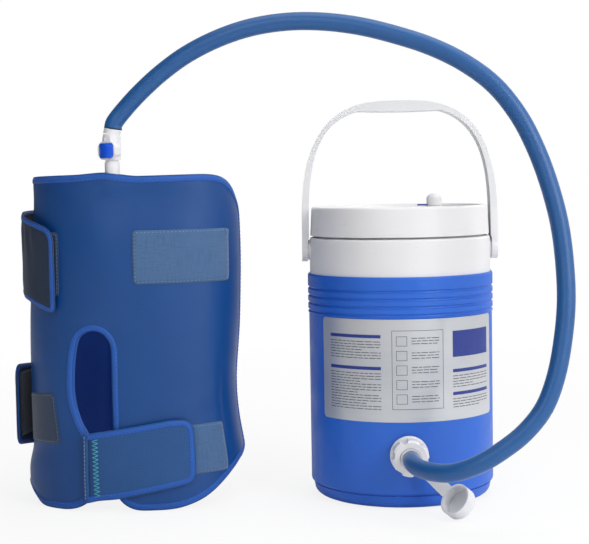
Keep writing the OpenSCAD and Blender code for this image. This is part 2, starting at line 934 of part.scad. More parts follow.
// Outline from its left edge x; k is the inset from the three bound edges
function front_strap_points(k, x = front_fold + tab_gap) = concat(
  [[x, 72.5 - k], [35, 83.5 - k]],
  ellipse_arc([47.5, 73], 9.5 - k, 10.5 - k, 90, 0, 4),
  ellipse_arc([47.5, 34], 9.5 - k, 10.5 - k, 0, -90, 4),
  [[-12, 12.5 + k], [-30, 11 + k], [x, 9 + k]]
);

// The sewn end of the front strap, which stays on the wrap
module front_strap_seam() {
  color(navy) intersection() {
    oval_wall(0.3, front_in + front_t);
    front_outline([[front_left, 8], [front_left, 72], [front_fold, 72.5], [front_fold, 9]]);
  }
}

module front_strap() {
  color(navy) intersection() {
    oval_wall(front_in, front_in + front_t);
    front_outline(front_strap_points(tab_bind));
  }
}

module front_strap_binding() {
  color(royal) intersection() {
    oval_wall(front_in - 0.2, front_in + front_t + 0.2);
    difference() {
      front_outline(front_strap_points(0));
      front_outline(front_strap_points(tab_bind));
    }
  }
}

module front_hook_patch() {
  color("slategray") intersection() {
    oval_wall(front_in - hook_t, front_in);
    front_outline(patch_points(24, 50, 32, 74));
  }
}

outer_shell();
insulation_foam();
inner_liner();
collar();
pivot_caps();
label_plate();
handle();
lid_seal();
lid_shell();
lid_foam();
lid_liner();
vent_plug();
vent_seal();
outlet_body();
outlet_gasket();
inner_gasket();
outlet_inner_nut();
outlet_nut();
hose_ferrule();
tether_cap();
cap_seal();
hose();
coupler_body();
hose_barb();
coupler_button();
latch_plate();
button_spring();
coupler_seal();
wrap_stub();
wrap_cover();
wrap_bladder();
wrap_lining();
wrap_binding();
opening_binding();
loop_patch_upper();
loop_patch_lower();
loop_patch_side_upper();
loop_patch_side_lower();
upper_strap();
upper_strap_tab();
upper_tab_binding();
upper_hook_patch();
lower_strap();
lower_strap_tab();
lower_tab_binding();
lower_hook_patch();
front_strap_seam();
front_strap();
front_strap_binding();
front_hook_patch();
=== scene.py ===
"""Looks of a gravity-fed cold therapy set: cooler jug, sleeved hose and knee wrap.

Lengths in the piece functions are millimetres in the part's frame, and put_mesh() makes them metres.
On the wrap, a point is (s, z, off): s runs along the cloth from its right end, round the front, to the
back, z is the height, and off is the distance out from the cloth's outer face.
"""
import bisect
import bmesh
import bpy
import numpy as np
import random
from math import copysign, cos, exp, hypot, pi, radians, sin, sqrt, tanh
from mathutils import Matrix, Vector, noise
from mathutils.bvhtree import BVHTree
from mathutils.geometry import delaunay_2d_cdt


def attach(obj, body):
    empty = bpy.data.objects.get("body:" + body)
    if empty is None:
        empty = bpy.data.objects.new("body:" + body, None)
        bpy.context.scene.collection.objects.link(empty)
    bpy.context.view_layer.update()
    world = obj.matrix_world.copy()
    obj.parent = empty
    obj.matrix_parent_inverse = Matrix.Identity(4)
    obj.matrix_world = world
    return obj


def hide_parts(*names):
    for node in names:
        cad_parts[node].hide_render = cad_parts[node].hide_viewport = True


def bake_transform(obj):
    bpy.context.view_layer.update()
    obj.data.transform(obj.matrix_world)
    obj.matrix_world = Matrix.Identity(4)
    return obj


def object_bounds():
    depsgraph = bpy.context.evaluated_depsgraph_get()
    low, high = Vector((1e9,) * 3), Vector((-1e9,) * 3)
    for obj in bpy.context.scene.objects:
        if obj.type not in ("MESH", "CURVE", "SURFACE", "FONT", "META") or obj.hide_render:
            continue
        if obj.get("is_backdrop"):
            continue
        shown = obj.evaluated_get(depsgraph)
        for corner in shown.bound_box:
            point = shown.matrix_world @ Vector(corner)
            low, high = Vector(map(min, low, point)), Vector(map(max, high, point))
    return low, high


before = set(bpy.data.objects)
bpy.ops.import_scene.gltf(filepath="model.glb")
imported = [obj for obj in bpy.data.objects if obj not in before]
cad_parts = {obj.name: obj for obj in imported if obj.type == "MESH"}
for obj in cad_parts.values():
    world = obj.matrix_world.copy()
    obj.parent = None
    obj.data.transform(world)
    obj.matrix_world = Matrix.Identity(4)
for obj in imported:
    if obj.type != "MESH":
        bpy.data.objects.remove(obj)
CAD_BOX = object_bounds()
MM = 0.001
TAU = 2 * pi


# ------ small helpers

def clamp(v, low=0.0, high=1.0):
    return max(low, min(high, v))


def smooth(low, high, v):
    """0 at low and 1 at high, with an S-shaped step between them."""
    t = clamp((v - low) / (high - low))
    return t * t * (3 - 2 * t)


def bell(v, centre, width):
    return exp(-((v - centre) / width) ** 2)


def linear(rgb):
    """Scene colour of an sRGB colour given as 0 to 255."""
    def one(c):
        c /= 255
        return c / 12.92 if c <= 0.04045 else ((c + 0.055) / 1.055) ** 2.4
    return tuple(one(c) for c in rgb) + (1,)


def tinted(colour, share):
    return tuple(min(1, c * share) for c in colour[:3]) + (1,)


def wobble(x, y, z=0.0):
    """Soft noise from -1 to 1, the same on every run."""
    return noise.noise(Vector((x, y, z)))


def arc(cx, cy, rx, ry, start, end, steps=8):
    """Part of an ellipse, from one angle to another in degrees."""
    turns = [radians(start + (end - start) * i / steps) for i in range(steps + 1)]
    return [(cx + rx * cos(t), cy + ry * sin(t)) for t in turns]


def square_arc(cx, cy, rx, ry, power, steps):
    """Quarter of a squared ellipse, from its top to its right end."""
    turns = [pi / 2 * (1 - i / steps) for i in range(steps + 1)]
    p = 2 / power
    return [(cx + rx * abs(cos(t)) ** p, cy + ry * abs(sin(t)) ** p) for t in turns]


def runs(pts):
    """Distance along a line at each of its points."""
    run = [0.0]
    for a, b in zip(pts, pts[1:]):
        run.append(run[-1] + (b - a).length)
    return run


def point_along(pts, run, d):
    """Point at distance d along a line, and the number of the span that it is on."""
    i = min(max(bisect.bisect(run, d) - 1, 0), len(pts) - 2)
    t = clamp((d - run[i]) / max(run[i + 1] - run[i], 1e-9))
    return pts[i].lerp(pts[i + 1], t), i


def heading(pts, i, closed=False):
    """Direction of a line at point i, from the point before it to the point after it."""
    a = pts[i - 1] if closed or i else pts[0]
    b = pts[(i + 1) % len(pts)] if closed or i < len(pts) - 1 else pts[-1]
    return (b - a).normalized()


def left_of(way):
    return Vector((-way.y, way.x))


def ring_faces(count, m, closed=False, capped=True):
    """Faces between rings of m points each, and a cap on each end of an open run of rings."""
    faces = []
    for i in range(count if closed else count - 1):
        a, b = i * m, (i + 1) % count * m
        faces += [(a + k, a + (k + 1) % m, b + (k + 1) % m, b + k) for k in range(m)]
    if capped and not closed:
        faces += [tuple(range(m))[::-1], tuple((count - 1) * m + k for k in range(m))]
    return faces


def placed(name, data):
    """A new object in the scene."""
    obj = bpy.data.objects.new(name, data)
    bpy.context.scene.collection.objects.link(obj)
    return obj


def put_mesh(name, points, faces, material, uvs=None, smooth_faces=True, outward=False):
    """A mesh object at the origin from points in millimetres, its faces turned outward if asked."""
    mesh = bpy.data.meshes.new(name)
    mesh.from_pydata([Vector(p) * MM for p in points], [], faces)
    mesh.materials.append(material)
    if uvs is not None:
        layer = mesh.uv_layers.new(name="cloth")
        layer.data.foreach_set("uv", [c for loop in mesh.loops for c in uvs[loop.vertex_index]])
    mesh.polygons.foreach_set("use_smooth", [smooth_faces] * len(faces))
    if outward:
        bm = bmesh.new()
        bm.from_mesh(mesh)
        bmesh.ops.recalc_face_normals(bm, faces=bm.faces)
        bm.to_mesh(mesh)
        bm.free()
    return placed(name, mesh)


def finished(obj, body, node=None):
    """Hangs a piece on the body that it rides on, and hides the node it stands for."""
    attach(obj, body)
    if node:
        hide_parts(node)
    return obj


# ------ camera

CAMERA_PLACE = (-0.101, -1.3584, 0.3038)
CAMERA_PITCH, CAMERA_ROLL = radians(3.83), radians(-0.99)
CAMERA_LENS = 86.63


def make_camera():
    """The photograph's view: slightly down, with the camera rolled by about a degree."""
    forward = Vector((0, cos(CAMERA_PITCH), -sin(CAMERA_PITCH)))
    right, up = Vector((1, 0, 0)), Vector((0, sin(CAMERA_PITCH), cos(CAMERA_PITCH)))
    side = cos(CAMERA_ROLL) * right + sin(CAMERA_ROLL) * up
    top = cos(CAMERA_ROLL) * up - sin(CAMERA_ROLL) * right
    data = bpy.data.cameras.new("camera")
    data.sensor_width = 36
    data.lens = CAMERA_LENS
    camera = placed("camera", data)
    axes = Matrix((side, top, -forward)).transposed().to_4x4()
    camera.matrix_world = Matrix.Translation(Vector(CAMERA_PLACE)) @ axes
    bpy.context.scene.camera = camera
    bpy.context.scene.view_settings.view_transform = "Standard"


make_camera()


# ------ materials

class Nodes:
    """Shorthands for building a tree of nodes."""

    def __init__(self, tree):
        self.tree = tree

    def link(self, a, b):
        self.tree.links.new(a, b)

    def node(self, kind, sockets=(), **settings):
        """A new shader node, its sockets set to values or linked to other nodes' outputs."""
        made = self.tree.nodes.new("ShaderNode" + kind)
        for key, value in settings.items():
            setattr(made, key, value)
        for key, value in dict(sockets).items():
            if isinstance(value, bpy.types.NodeSocket):
                self.link(value, made.inputs[key])
            else:
                made.inputs[key].default_value = value
        return made

    def ranged(self, source, low, high, to_low, to_high):
        """The source's values from low to high, stretched to run from to_low to to_high."""
        sockets = {"Value": source, "From Min": low, "From Max": high, "To Min": to_low, "To Max": to_high}
        return self.node("MapRange", sockets).outputs["Result"]

    def camera_ray(self):
        """1 for what the camera sees directly and 0 for light that falls on the object."""
        return self.node("LightPath").outputs["Is Camera Ray"]

    def shader_mix(self, share, a, b):
        return self.node("MixShader", {0: share, 1: a.outputs[0], 2: b.outputs[0]}).outputs[0]


class Finish(Nodes):
    """A node material with a few shorthands for its procedural detail."""

    def __init__(self, name, colour, roughness, **sockets):
        self.material = bpy.data.materials.new(name)
        self.material.use_nodes = True
        self.material.diffuse_color = colour
        super().__init__(self.material.node_tree)
        self.shader = self.tree.nodes["Principled BSDF"]
        for key, value in {"Base_Color": colour, "Roughness": roughness, **sockets}.items():
            self.shader.inputs[key.replace("_", " ")].default_value = value
        coords = self.node("TexCoord")
        self.place = coords.outputs["Object"]
        self.cloth = coords.outputs["UV"]
        self.normal = None

    def noise(self, scale, detail=2.0, roughness=0.5, stretch=(1, 1, 1), over=None):
        """Noise over the piece's place, or its cloth coordinates, made finer by the factors of stretch."""
        place = self.node("Mapping", {"Scale": stretch, "Vector": over or self.place}).outputs["Vector"]
        sockets = {"Scale": scale, "Detail": detail, "Roughness": roughness, "Vector": place}
        return self.node("TexNoise", sockets).outputs["Fac"]

    def wave(self, source, scale, direction):
        sockets = {"Scale": scale, "Vector": source}
        return self.node("TexWave", sockets, bands_direction=direction).outputs["Fac"]

    def math(self, operation, a, b):
        return self.node("Math", {0: a, 1: b}, operation=operation).outputs["Value"]

    def mixed(self, share, a, b):
        """Colour a with a share of colour b. In the node, 6 and 7 are the sockets of the colours."""
        return self.node("Mix", {0: share, 6: a, 7: b}, data_type="RGBA").outputs[2]

    def graded(self, source, low, high, most, a, b):
        """Colour a up to the source's low, going over to b until b's share is most at its high."""
        return self.mixed(self.ranged(source, low, high, 0, most), a, b)

    def colour(self, source):
        self.link(source, self.shader.inputs["Base Color"])

    def roughness(self, source, low, high):
        """Roughness from low to high, over the middle of a noise's range."""
        self.link(self.ranged(source, 0.3, 0.7, low, high), self.shader.inputs["Roughness"])

    def bump(self, source, strength, distance):
        """Relief on top of the relief that is already there."""
        sockets = {"Strength": strength, "Distance": distance, "Height": source}
        if self.normal is not None:
            sockets["Normal"] = self.normal
        self.normal = self.node("Bump", sockets).outputs["Normal"]
        self.link(self.normal, self.shader.inputs["Normal"])

    def height(self):
        """Height of the point, in metres."""
        return self.node("SeparateXYZ", {"Vector": self.place}).outputs["Z"]


def plastic(name, colour, shade, worn, roughness, grain=900, relief=0.1, wear_top=None):
    """Moulded plastic: fine grain, soft colour drift, and rubbed patches, more of them below wear_top."""
    colour, shade, worn = map(linear, (colour, shade, worn))
    made = Finish(name, colour, roughness)
    base = made.graded(made.noise(9, 3), 0.35, 0.65, 1, colour, shade)
    scuffs = made.noise(120, 5, 0.7, stretch=(1, 1, 2.5))
    marks = made.ranged(scuffs, 0.62, 0.72, 0, 0.5)
    if wear_top is not None:
        marks = made.math("MULTIPLY", marks, made.ranged(made.height(), 0.0, wear_top, 1.6, 0.25))
    made.colour(made.mixed(marks, base, worn))
    made.roughness(made.noise(60, 4), roughness - 0.06, roughness + 0.08)
    made.bump(made.noise(grain, 2), relief, 0.0002)
    made.bump(made.noise(45, 2), relief, 0.0006)
    return made.material


def woven(name, colour, shade, roughness, pitch, depth, fuzz=0.0, sheen=0.3, gloss=0.5):
    """Cloth: two sets of threads at the given pitch in metres, slubs, soft colour drift and fuzz."""
    colour, shade = linear(colour), linear(shade)
    made = Finish(name, colour, roughness, Sheen_Weight=sheen, Sheen_Roughness=0.4, Specular_IOR_Level=gloss)
    turns = TAU / (pitch * 20)
    threads = made.math("MULTIPLY", made.wave(made.cloth, turns, "X"), made.wave(made.cloth, turns, "Y"))
    large = made.noise(14, 3, stretch=(1, 1, 0.8))
    base = made.graded(large, 0.3, 0.7, 0.6, colour, shade)
    slub = made.noise(1, 3, stretch=(180, 1400, 1), over=made.cloth)
    cross = made.noise(1, 3, stretch=(1400, 180, 1), over=made.cloth)
    streaks = made.math("ADD", slub, cross)
    lit = made.graded(streaks, 0.75, 1.3, 0.12, base, tinted(colour, 1.9))
    made.colour(made.mixed(made.ranged(threads, 0, 1, 0.08, 0), lit, tinted(colour, 0.45)))
    made.roughness(large, roughness - 0.07, roughness + 0.07)
    made.bump(threads, 0.35, depth)
    made.bump(streaks, 0.18, depth * 1.4)
    if fuzz:
        made.bump(made.noise(1500, 4, 0.8), fuzz, 0.0008)
    return made.material


def brushed_loops(name, colour, shade, light):
    """Loop fastener cloth: matted loops, faint rows across and down, and a fuzzy surface."""
    colour, shade, light = map(linear, (colour, shade, light))
    made = Finish(name, colour, 0.92, Sheen_Weight=0.25, Sheen_Roughness=0.5)
    rows = made.noise(1, 4, 0.7, stretch=(60, 900, 1), over=made.cloth)
    columns = made.noise(1, 4, 0.7, stretch=(700, 50, 1), over=made.cloth)
    mat = made.math("MAXIMUM", rows, columns)
    loops = made.noise(1900, 3, 0.7)
    base = made.graded(mat, 0.5, 0.72, 1, colour, shade)
    made.colour(made.graded(loops, 0.5, 0.75, 0.35, base, light))
    made.bump(loops, 0.6, 0.0006)
    made.bump(mat, 0.5, 0.0005)
    return made.material


def foam_sleeve(name, colour, shade, rubbed):
    """Rubbery foam skin: tiny pores, lengthwise drift and rubbed light specks."""
    colour, shade, rubbed = map(linear, (colour, shade, rubbed))
    made = Finish(name, colour, 0.42, Sheen_Weight=0.35, Sheen_Roughness=0.3)
    along = made.noise(2, 3, stretch=(25, 1.5, 1), over=made.cloth)
    pores = made.noise(1300, 3, 0.6)
    base = made.graded(along, 0.3, 0.7, 0.7, colour, shade)
    made.colour(made.graded(pores, 0.55, 0.75, 0.22, base, rubbed))
    made.roughness(along, 0.34, 0.46)
    made.bump(pores, 0.35, 0.0004)
    made.bump(made.noise(120, 2), 0.25, 0.0008)
    return made.material


def silver_film(name):
    """Printed film: silvery ground with a faint brushed direction and small dents."""
    made = Finish(name, linear((200, 202, 206)), 0.36, Metallic=0.55)
    brushed = made.noise(1, 2, stretch=(40, 40, 2600))
    soft = made.noise(16, 2)
    base = made.graded(soft, 0.35, 0.65, 1, linear((208, 210, 213)), linear((196, 199, 204)))
    made.colour(made.graded(brushed, 0.4, 0.7, 0.35, base, linear((220, 221, 223))))
    made.roughness(brushed, 0.3, 0.42)
    made.bump(soft, 0.15, 0.0008)
    return made.material


def ink(name, colour):
    """Printing ink, slightly faded in specks."""
    colour = linear(colour)
    made = Finish(name, colour, 0.5)
    made.colour(made.graded(made.noise(900, 3), 0.5, 0.8, 0.12, colour, linear((150, 156, 170))))
    made.roughness(made.noise(60, 3), 0.42, 0.55)
    return made.material


def steel(name):
    """Steel with fine drawn lines."""
    made = Finish(name, linear((178, 180, 184)), 0.3, Metallic=1.0)
    lines = made.noise(4, 2, stretch=(500, 30, 500))
    made.roughness(lines, 0.24, 0.42)
    made.bump(lines, 0.15, 0.0001)
    return made.material


def thread(name, colour):
    """Twisted sewing thread."""
    colour = linear(colour)
    made = Finish(name, colour, 0.6, Sheen_Weight=0.3)
    twist = made.wave(made.place, 900, "DIAGONAL")
    made.colour(made.mixed(twist, colour, tinted(colour, 0.6)))
    made.bump(twist, 0.4, 0.0001)
    return made.material


BLUE_PLASTIC = plastic("blue_plastic", (36, 103, 207), (32, 96, 200), (110, 148, 222), 0.42, wear_top=0.03)
WHITE_PLASTIC = plastic("white_plastic", (232, 231, 232), (227, 226, 228), (212, 212, 214), 0.4)
SATIN_WHITE = plastic("satin_white_plastic", (230, 230, 232), (224, 225, 227), (210, 211, 214), 0.45,
                      grain=1500, relief=0.03)
BLUE_RUBBER = plastic("blue_rubber", (40, 74, 160), (34, 64, 146), (80, 110, 180), 0.6)
# painted shade: the dark band where the hose sleeve meets each fitting
RIM_SHADE = plastic("sleeve_rim_painted_shade", (30, 48, 84), (24, 40, 74), (60, 78, 112), 0.5)
# dark rubber for the seals and gaskets, also used for the painted shade blocks on the outlet's flange
RUBBER_AND_PAINTED_SHADE = plastic("seal_rubber", (58, 60, 64), (48, 50, 54), (90, 92, 96), 0.65)
FOAM = plastic("insulation_foam", (222, 206, 160), (206, 188, 140), (236, 224, 190), 0.9, grain=350)
BUTTON_BLUE = plastic("button_blue", (14, 86, 216), (10, 76, 204), (90, 140, 235), 0.28, grain=1500)
LABEL_FILM = silver_film("label_foil")
NAVY_INK = ink("label_navy", (30, 52, 138))
GREY_INK = ink("label_grey", (78, 82, 92))
SLEEVE = foam_sleeve("hose_sleeve", (26, 88, 150), (20, 78, 138), (120, 150, 190))
STEEL = steel("steel")
NYLON = woven("wrap_nylon", (4, 68, 134), (2, 58, 120), 0.36, 0.0008, 0.0002, sheen=0.02, gloss=0.42)
LINING = woven("wrap_lining", (10, 76, 168), (6, 58, 138), 0.7, 0.0012, 0.0004, fuzz=0.3)
FILM = plastic("wrap_film", (120, 160, 205), (100, 140, 190), (150, 185, 220), 0.3)
BINDING = woven("edge_binding", (30, 88, 172), (24, 76, 158), 0.6, 0.0010, 0.0004, 0.15, 0.08, 0.35)
LOOPS = brushed_loops("loop_fabric", (68, 102, 144), (54, 86, 126), (100, 134, 172))
# darker copy of the loop cloth: painted shade for the patches under the straps' ends
SHADED_LOOPS = brushed_loops("loop_fabric_painted_shade", (34, 54, 82), (26, 42, 66), (54, 78, 108))
HOOKS = brushed_loops("hook_fabric", (46, 56, 74), (36, 44, 60), (76, 86, 102))
STRAP_DARK = woven("strap_fabric_dark", (30, 46, 70), (24, 38, 60), 0.6, 0.0014, 0.0004, 0.1, 0.1, 0.4)
STRAP_BLUE = woven("strap_fabric_blue", (32, 78, 134), (28, 70, 122), 0.6, 0.0014, 0.0004, 0.1, 0.1, 0.35)
THREAD_BLUE = thread("thread_blue", (58, 84, 168))
THREAD_TEAL = thread("thread_teal", (70, 176, 200))
THREAD_PALE = thread("thread_pale", (130, 168, 200))


# ------ hose

HOSE_D = 16
HOSE_SIDES = 28
HOSE_ROUTE = [
    (0, -104.5, 51), (0, -124, 51), (4, -142, 50), (14, -160, 50), (30, -174, 52),
    (50, -182, 60), (70, -184, 72), (90, -182, 87), (107, -178, 107), (118, -173, 133),
    (125, -167, 163), (129, -161, 195), (129, -154, 228), (126, -148, 260), (119, -142, 292),
    (109, -136, 323), (95, -130, 353), (75, -124, 380), (50, -119, 400), (22, -114, 415),
    (-8, -109, 426), (-40, -103, 435), (-72, -98, 440), (-104, -93, 441), (-136, -89, 437),
    (-166, -85, 428), (-194, -80, 415), (-218, -75, 399), (-238, -71, 382), (-253, -67, 367),
    (-262, -66, 356), (-263.5, -66, 350),
]


def curve_through(points, between):
    """A smooth line through points (Catmull-Rom), with the given number of steps between two."""
    pts = [Vector(p) for p in points]
    pts = [2 * pts[0] - pts[1]] + pts + [2 * pts[-1] - pts[-2]]
    line = []
    for a, b, c, d in zip(pts, pts[1:], pts[2:], pts[3:]):
        for i in range(between):
            t = i / between
            line.append(0.5 * (2 * b + (c - a) * t + (2 * a - 5 * b + 4 * c - d) * t * t
                               + (3 * b - a - 3 * c + d) * t ** 3))
    line.append(pts[-2])
    return line


def tube(name, line, radii, sides, material, capped=True):
    """A round tube along a line, with uvs in metres along and round it."""
    normal = Vector((0, 0, 1)) if abs((line[1] - line[0]).normalized().z) < 0.9 else Vector((1, 0, 0))
    points, uvs = [], []
    for i, (p, r, run) in enumerate(zip(line, radii, runs(line))):
        way = heading(line, i)
        normal = (normal - normal.dot(way) * way).normalized()
        other = way.cross(normal)
        for k in range(sides):
            turn = TAU * k / sides
            points.append(p + r * (cos(turn) * normal + sin(turn) * other))
            uvs.append((r * turn * MM, run * MM))
    return put_mesh(name, points, ring_faces(len(line), sides, capped=capped), material, uvs=uvs)


def make_hose():
    """The sleeved hose, with a thin dark rim where the sleeve ends at each fitting: painted shade of the
    joint.
    """
    line = curve_through(HOSE_ROUTE, 5)
    hose = tube("hose_sleeve", line, [HOSE_D / 2] * len(line), HOSE_SIDES, SLEEVE)
    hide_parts("hose")
    runs(line)[-1] * MM
    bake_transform(hose)
    for end, body, at, ahead in (("outlet", "cooler", 0, 1), ("coupler", "coupler", -1, -2)):
        way = (line[ahead] - line[at]).normalized()
        steps = [line[at] + way * d for d in (0.2, 0.4, 1.0, 1.2)]
        radii = [HOSE_D / 2 + proud for proud in (0.05, 0.2, 0.2, 0.05)]
        # The dark rim is painted shade of the joint between the sleeve and the fitting.
        rim = tube("hose_rim_" + end, steps, radii, HOSE_SIDES, RIM_SHADE, capped=False)
        finished(rim, body)


make_hose()


# ------ stage

WHITE = (1, 1, 1, 1)
FLOOR_HALF, FLOOR_Z = 9000, -0.4


def make_room():
    """Soft light from all round, brighter on the right than on the left, in front of plain white."""
    world = bpy.context.scene.world or bpy.data.worlds.new("world")
    bpy.context.scene.world = world
    world.use_nodes = True
    room = Nodes(world.node_tree)
    room.tree.nodes.clear()
    way = room.node("TexCoord").outputs["Generated"]
    rightward = room.node("SeparateXYZ", {"Vector": way}).outputs["X"]
    strength = room.ranged(rightward, -0.4, 0.8, 0.03, 0.9)
    lit = room.node("Background", {"Color": WHITE, "Strength": strength})
    seen = room.node("Background", {"Color": WHITE, "Strength": 1.0})
    surface = room.shader_mix(room.camera_ray(), lit, seen)
    room.node("OutputWorld", {"Surface": surface})


def make_floor():
    """Pale paper that brightens to plain white away from the object."""
    paper = Finish("floor_paper", (0.9, 0.9, 0.905, 1), 0.7)
    paper.bump(paper.noise(300, 2), 0.03, 0.0005)
    far = paper.node("VectorMath", {0: paper.place}, operation="LENGTH").outputs["Value"]
    share = paper.math("MULTIPLY", paper.ranged(far, 0.35, 1.3, 0.84, 1), paper.camera_ray())
    surface = paper.shader_mix(share, paper.shader, paper.node("Emission"))
    paper.link(surface, paper.tree.nodes["Material Output"].inputs["Surface"])
    corners = [(x * FLOOR_HALF, y * FLOOR_HALF, FLOOR_Z) for x, y in ((-1, -1), (1, -1), (1, 1), (-1, 1))]
    put_mesh("floor", corners, [(0, 1, 2, 3)], paper.material)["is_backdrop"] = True


def area_light(name, place, target, size, power):
    """A rectangle of light, with its place and size in metres and its power in watts."""
    data = bpy.data.lights.new(name, "AREA")
    data.shape = "RECTANGLE"
    data.size, data.size_y = size
    data.energy = power
    lamp = placed(name, data)
    lamp.location = place
    lamp.rotation_euler = (Vector(target) - Vector(place)).to_track_quat("-Z", "Y").to_euler()


make_room()
make_floor()
area_light("key", (1.25, -1.35, 1.15), (0, 0, 0.2), (0.8, 1.1), 18)
area_light("fill", (-0.72, -1.5, 1.05), (-0.15, 0, 0.25), (0.45, 0.9), 6.5)
area_light("top", (0, -0.1, 1.7), (0, 0, 0), (1.6, 1.2), 12)
area_light("back", (0.3, 1.4, 1.0), (0, 0, 0.2), (1.4, 1.0), 5)


# ------ cloth forms

WRAP_X, WRAP_A, WRAP_B, WRAP_H, OVAL_N = -254.0, 101.0, 74.0, 308.0, 2.35
WALL_T = 7.3


class Oval:
    """The wrap's closed line seen from above, measured from its right end and front first."""

    def __init__(self, shift=0.0, rise=0.0, steps=1440):
        def power(v):
            return copysign(abs(v) ** (2 / OVAL_N), v)
        turns = [TAU * i / steps for i in range(steps + 1)]
        self.pts = [Vector((shift + WRAP_A * power(cos(t)), -(WRAP_B + rise) * power(sin(t))))
                    for t in turns]
        self.run = runs(self.pts)
        self.half = steps // 2

    def at(self, s):
        """The point at s, and the way out from the line there."""
        p, i = point_along(self.pts, self.run, s)
        a, b = self.pts[max(i - 3, 0)], self.pts[min(i + 4, len(self.pts) - 1)]
        return p, left_of((b - a).normalized())

    def s_of(self, u, back=False):
        """Distance along the line of the point at u, on the front or the back half."""
        low, high = (self.half, len(self.pts) - 1) if back else (0, self.half)
        best = min(range(low, high + 1), key=lambda i: abs(self.pts[i].x - u))
        return self.run[best]


STRAP_SHIFT, STRAP_RISE = -3.4, 3
WRAP_OVAL = Oval()
STRAP_OVAL = Oval(shift=STRAP_SHIFT, rise=STRAP_RISE)
STUB_S = WRAP_OVAL.s_of(-11)


def lean(nx, z):
    """How far the soft wrap stands sideways from its plain oval, by its normal's x and the height."""
    at_left = 6.5 * smooth(150, 300, z) - 4.5 * smooth(58, 30, z) * smooth(0, 22, z)
    return at_left * max(0.0, -nx) ** 1.5 + lean_right(nx, z)


def lean_right(nx, z):
    dent = -5.0 * bell(z, 108, 46) + 3.0 * bell(z, 40, 24) + 1.2 * bell(z, 236, 40)
    return dent * max(0.0, nx) ** 1.5


def sleeve_bulge(s, z, off):
    """The sewn sleeve that holds the fitting's stub in the top edge swells, most on the inner side."""
    near = smooth(284, 300, z) * bell(s, STUB_S, 11)
    return near * (1.6 if off > -WALL_T / 2 else -8.0)


def on_wrap(s, z, off):
    """A place on the wrap, off the outer face of its cover."""
    p, n = WRAP_OVAL.at(s)
    off += sleeve_bulge(s, z, off)
    return Vector((WRAP_X + p.x + n.x * off + lean(n.x, z), p.y + n.y * off, z))


def on_strap(s, z, off):
    """A place on the straps, which lie round the wrap and tuck in at their right end."""
    p, n = STRAP_OVAL.at(s)
    off -= 3.0 * smooth(40, 0, STRAP_OVAL.run[-1] - s)
    return Vector((WRAP_X + p.x + n.x * off + lean_right(n.x, z), p.y + n.y * off, z))


def laid(points, back=False):
    """Points seen from the front, as (x from the wrap's middle, z), laid along its front or its back."""
    return [(WRAP_OVAL.s_of(clamp(u, -WRAP_A, WRAP_A), back), z) for u, z in points]


def evened(loop, step, closed=True, rounds=2):
    """The outline with evenly spaced points, its corners softened in the given number of rounds."""
    pts = [Vector(p) for p in loop] + ([Vector(loop[0])] if closed else [])
    run = runs(pts)
    count = max(int(run[-1] / step), 6)
    out = [point_along(pts, run, run[-1] * k / count)[0] for k in range(count if closed else count + 1)]
    for _ in range(rounds):
        if closed:
            out = [(out[i - 1] + 2 * p + out[(i + 1) % len(out)]) / 4 for i, p in enumerate(out)]
        else:
            inner = [(a + 2 * b + c) / 4 for a, b, c in zip(out, out[1:], out[2:])]
            out = [out[0]] + inner + [out[-1]]
    return out


def inset_line(line, k, side=1, closed=False):
    """The line moved sideways by k, to its left where side is 1."""
    pts = [Vector(p) for p in line]
    return [p + left_of(heading(pts, i, closed)) * side * k for i, p in enumerate(pts)]


def turn_of(loop):
    """1 if an outline runs anticlockwise, so that its left side is inside, and otherwise -1."""
    area = sum(a[0] * b[1] - b[0] * a[1] for a, b in zip(loop, list(loop[1:]) + [loop[0]]))
    return 1 if area > 0 else -1


def edge_distance(pts, loop):
    """Distance of each point to an outline."""
    p = np.array([tuple(q) for q in pts])[:, None, :]
    a = np.array([tuple(q) for q in loop])
    d = np.roll(a, -1, axis=0) - a
    t = np.clip(((p - a) * d).sum(-1) / np.maximum((d * d).sum(-1), 1e-9), 0, 1)
    return np.sqrt((((a + t[..., None] * d) - p) ** 2).sum(-1)).min(axis=1)


def inside(pts, loop):
    """Which points an outline encloses, by the edges that each one has to its right."""
    p = np.array(pts)
    a = np.array([tuple(q) for q in loop])
    b = np.roll(a, -1, axis=0)
    x, y = p[:, 0][:, None], p[:, 1][:, None]
    cross = (a[:, 1] > y) != (b[:, 1] > y)
    rise = np.where(b[:, 1] == a[:, 1], 1e-9, b[:, 1] - a[:, 1])
    edge_x = (b[:, 0] - a[:, 0]) * (y - a[:, 1]) / rise + a[:, 0]
    return (cross & (x < edge_x)).sum(axis=1) % 2 == 1


def filled(loop, step):
    """Even triangles that fill an outline, and the order of the points along its rim."""
    low = [min(p[i] for p in loop) for i in (0, 1)]
    high = [max(p[i] for p in loop) for i in (0, 1)]
    grid, row, z = [], 0, low[1] + step * 0.5
    while z < high[1]:
        x = low[0] + step * (0.5 if row % 2 else 1.0)
        while x < high[0]:
            grid.append((x, z))
            x += step
        z += step * 0.866
        row += 1
    keep = inside(grid, loop) & (edge_distance(grid, loop) > step * 0.6)
    n = len(loop)
    pts = [Vector(p) for p in loop] + [Vector(p) for p, k in zip(grid, keep) if k]
    verts, _, faces, origin, _, _ = delaunay_2d_cdt(pts, [(i, (i + 1) % n) for i in range(n)], [], 1, 1e-6)
    where = {i: j for j, ids in enumerate(origin) for i in ids}
    rim = [where[i] for i in range(n) if i in where]
    return verts, [tuple(f) for f in faces], rim


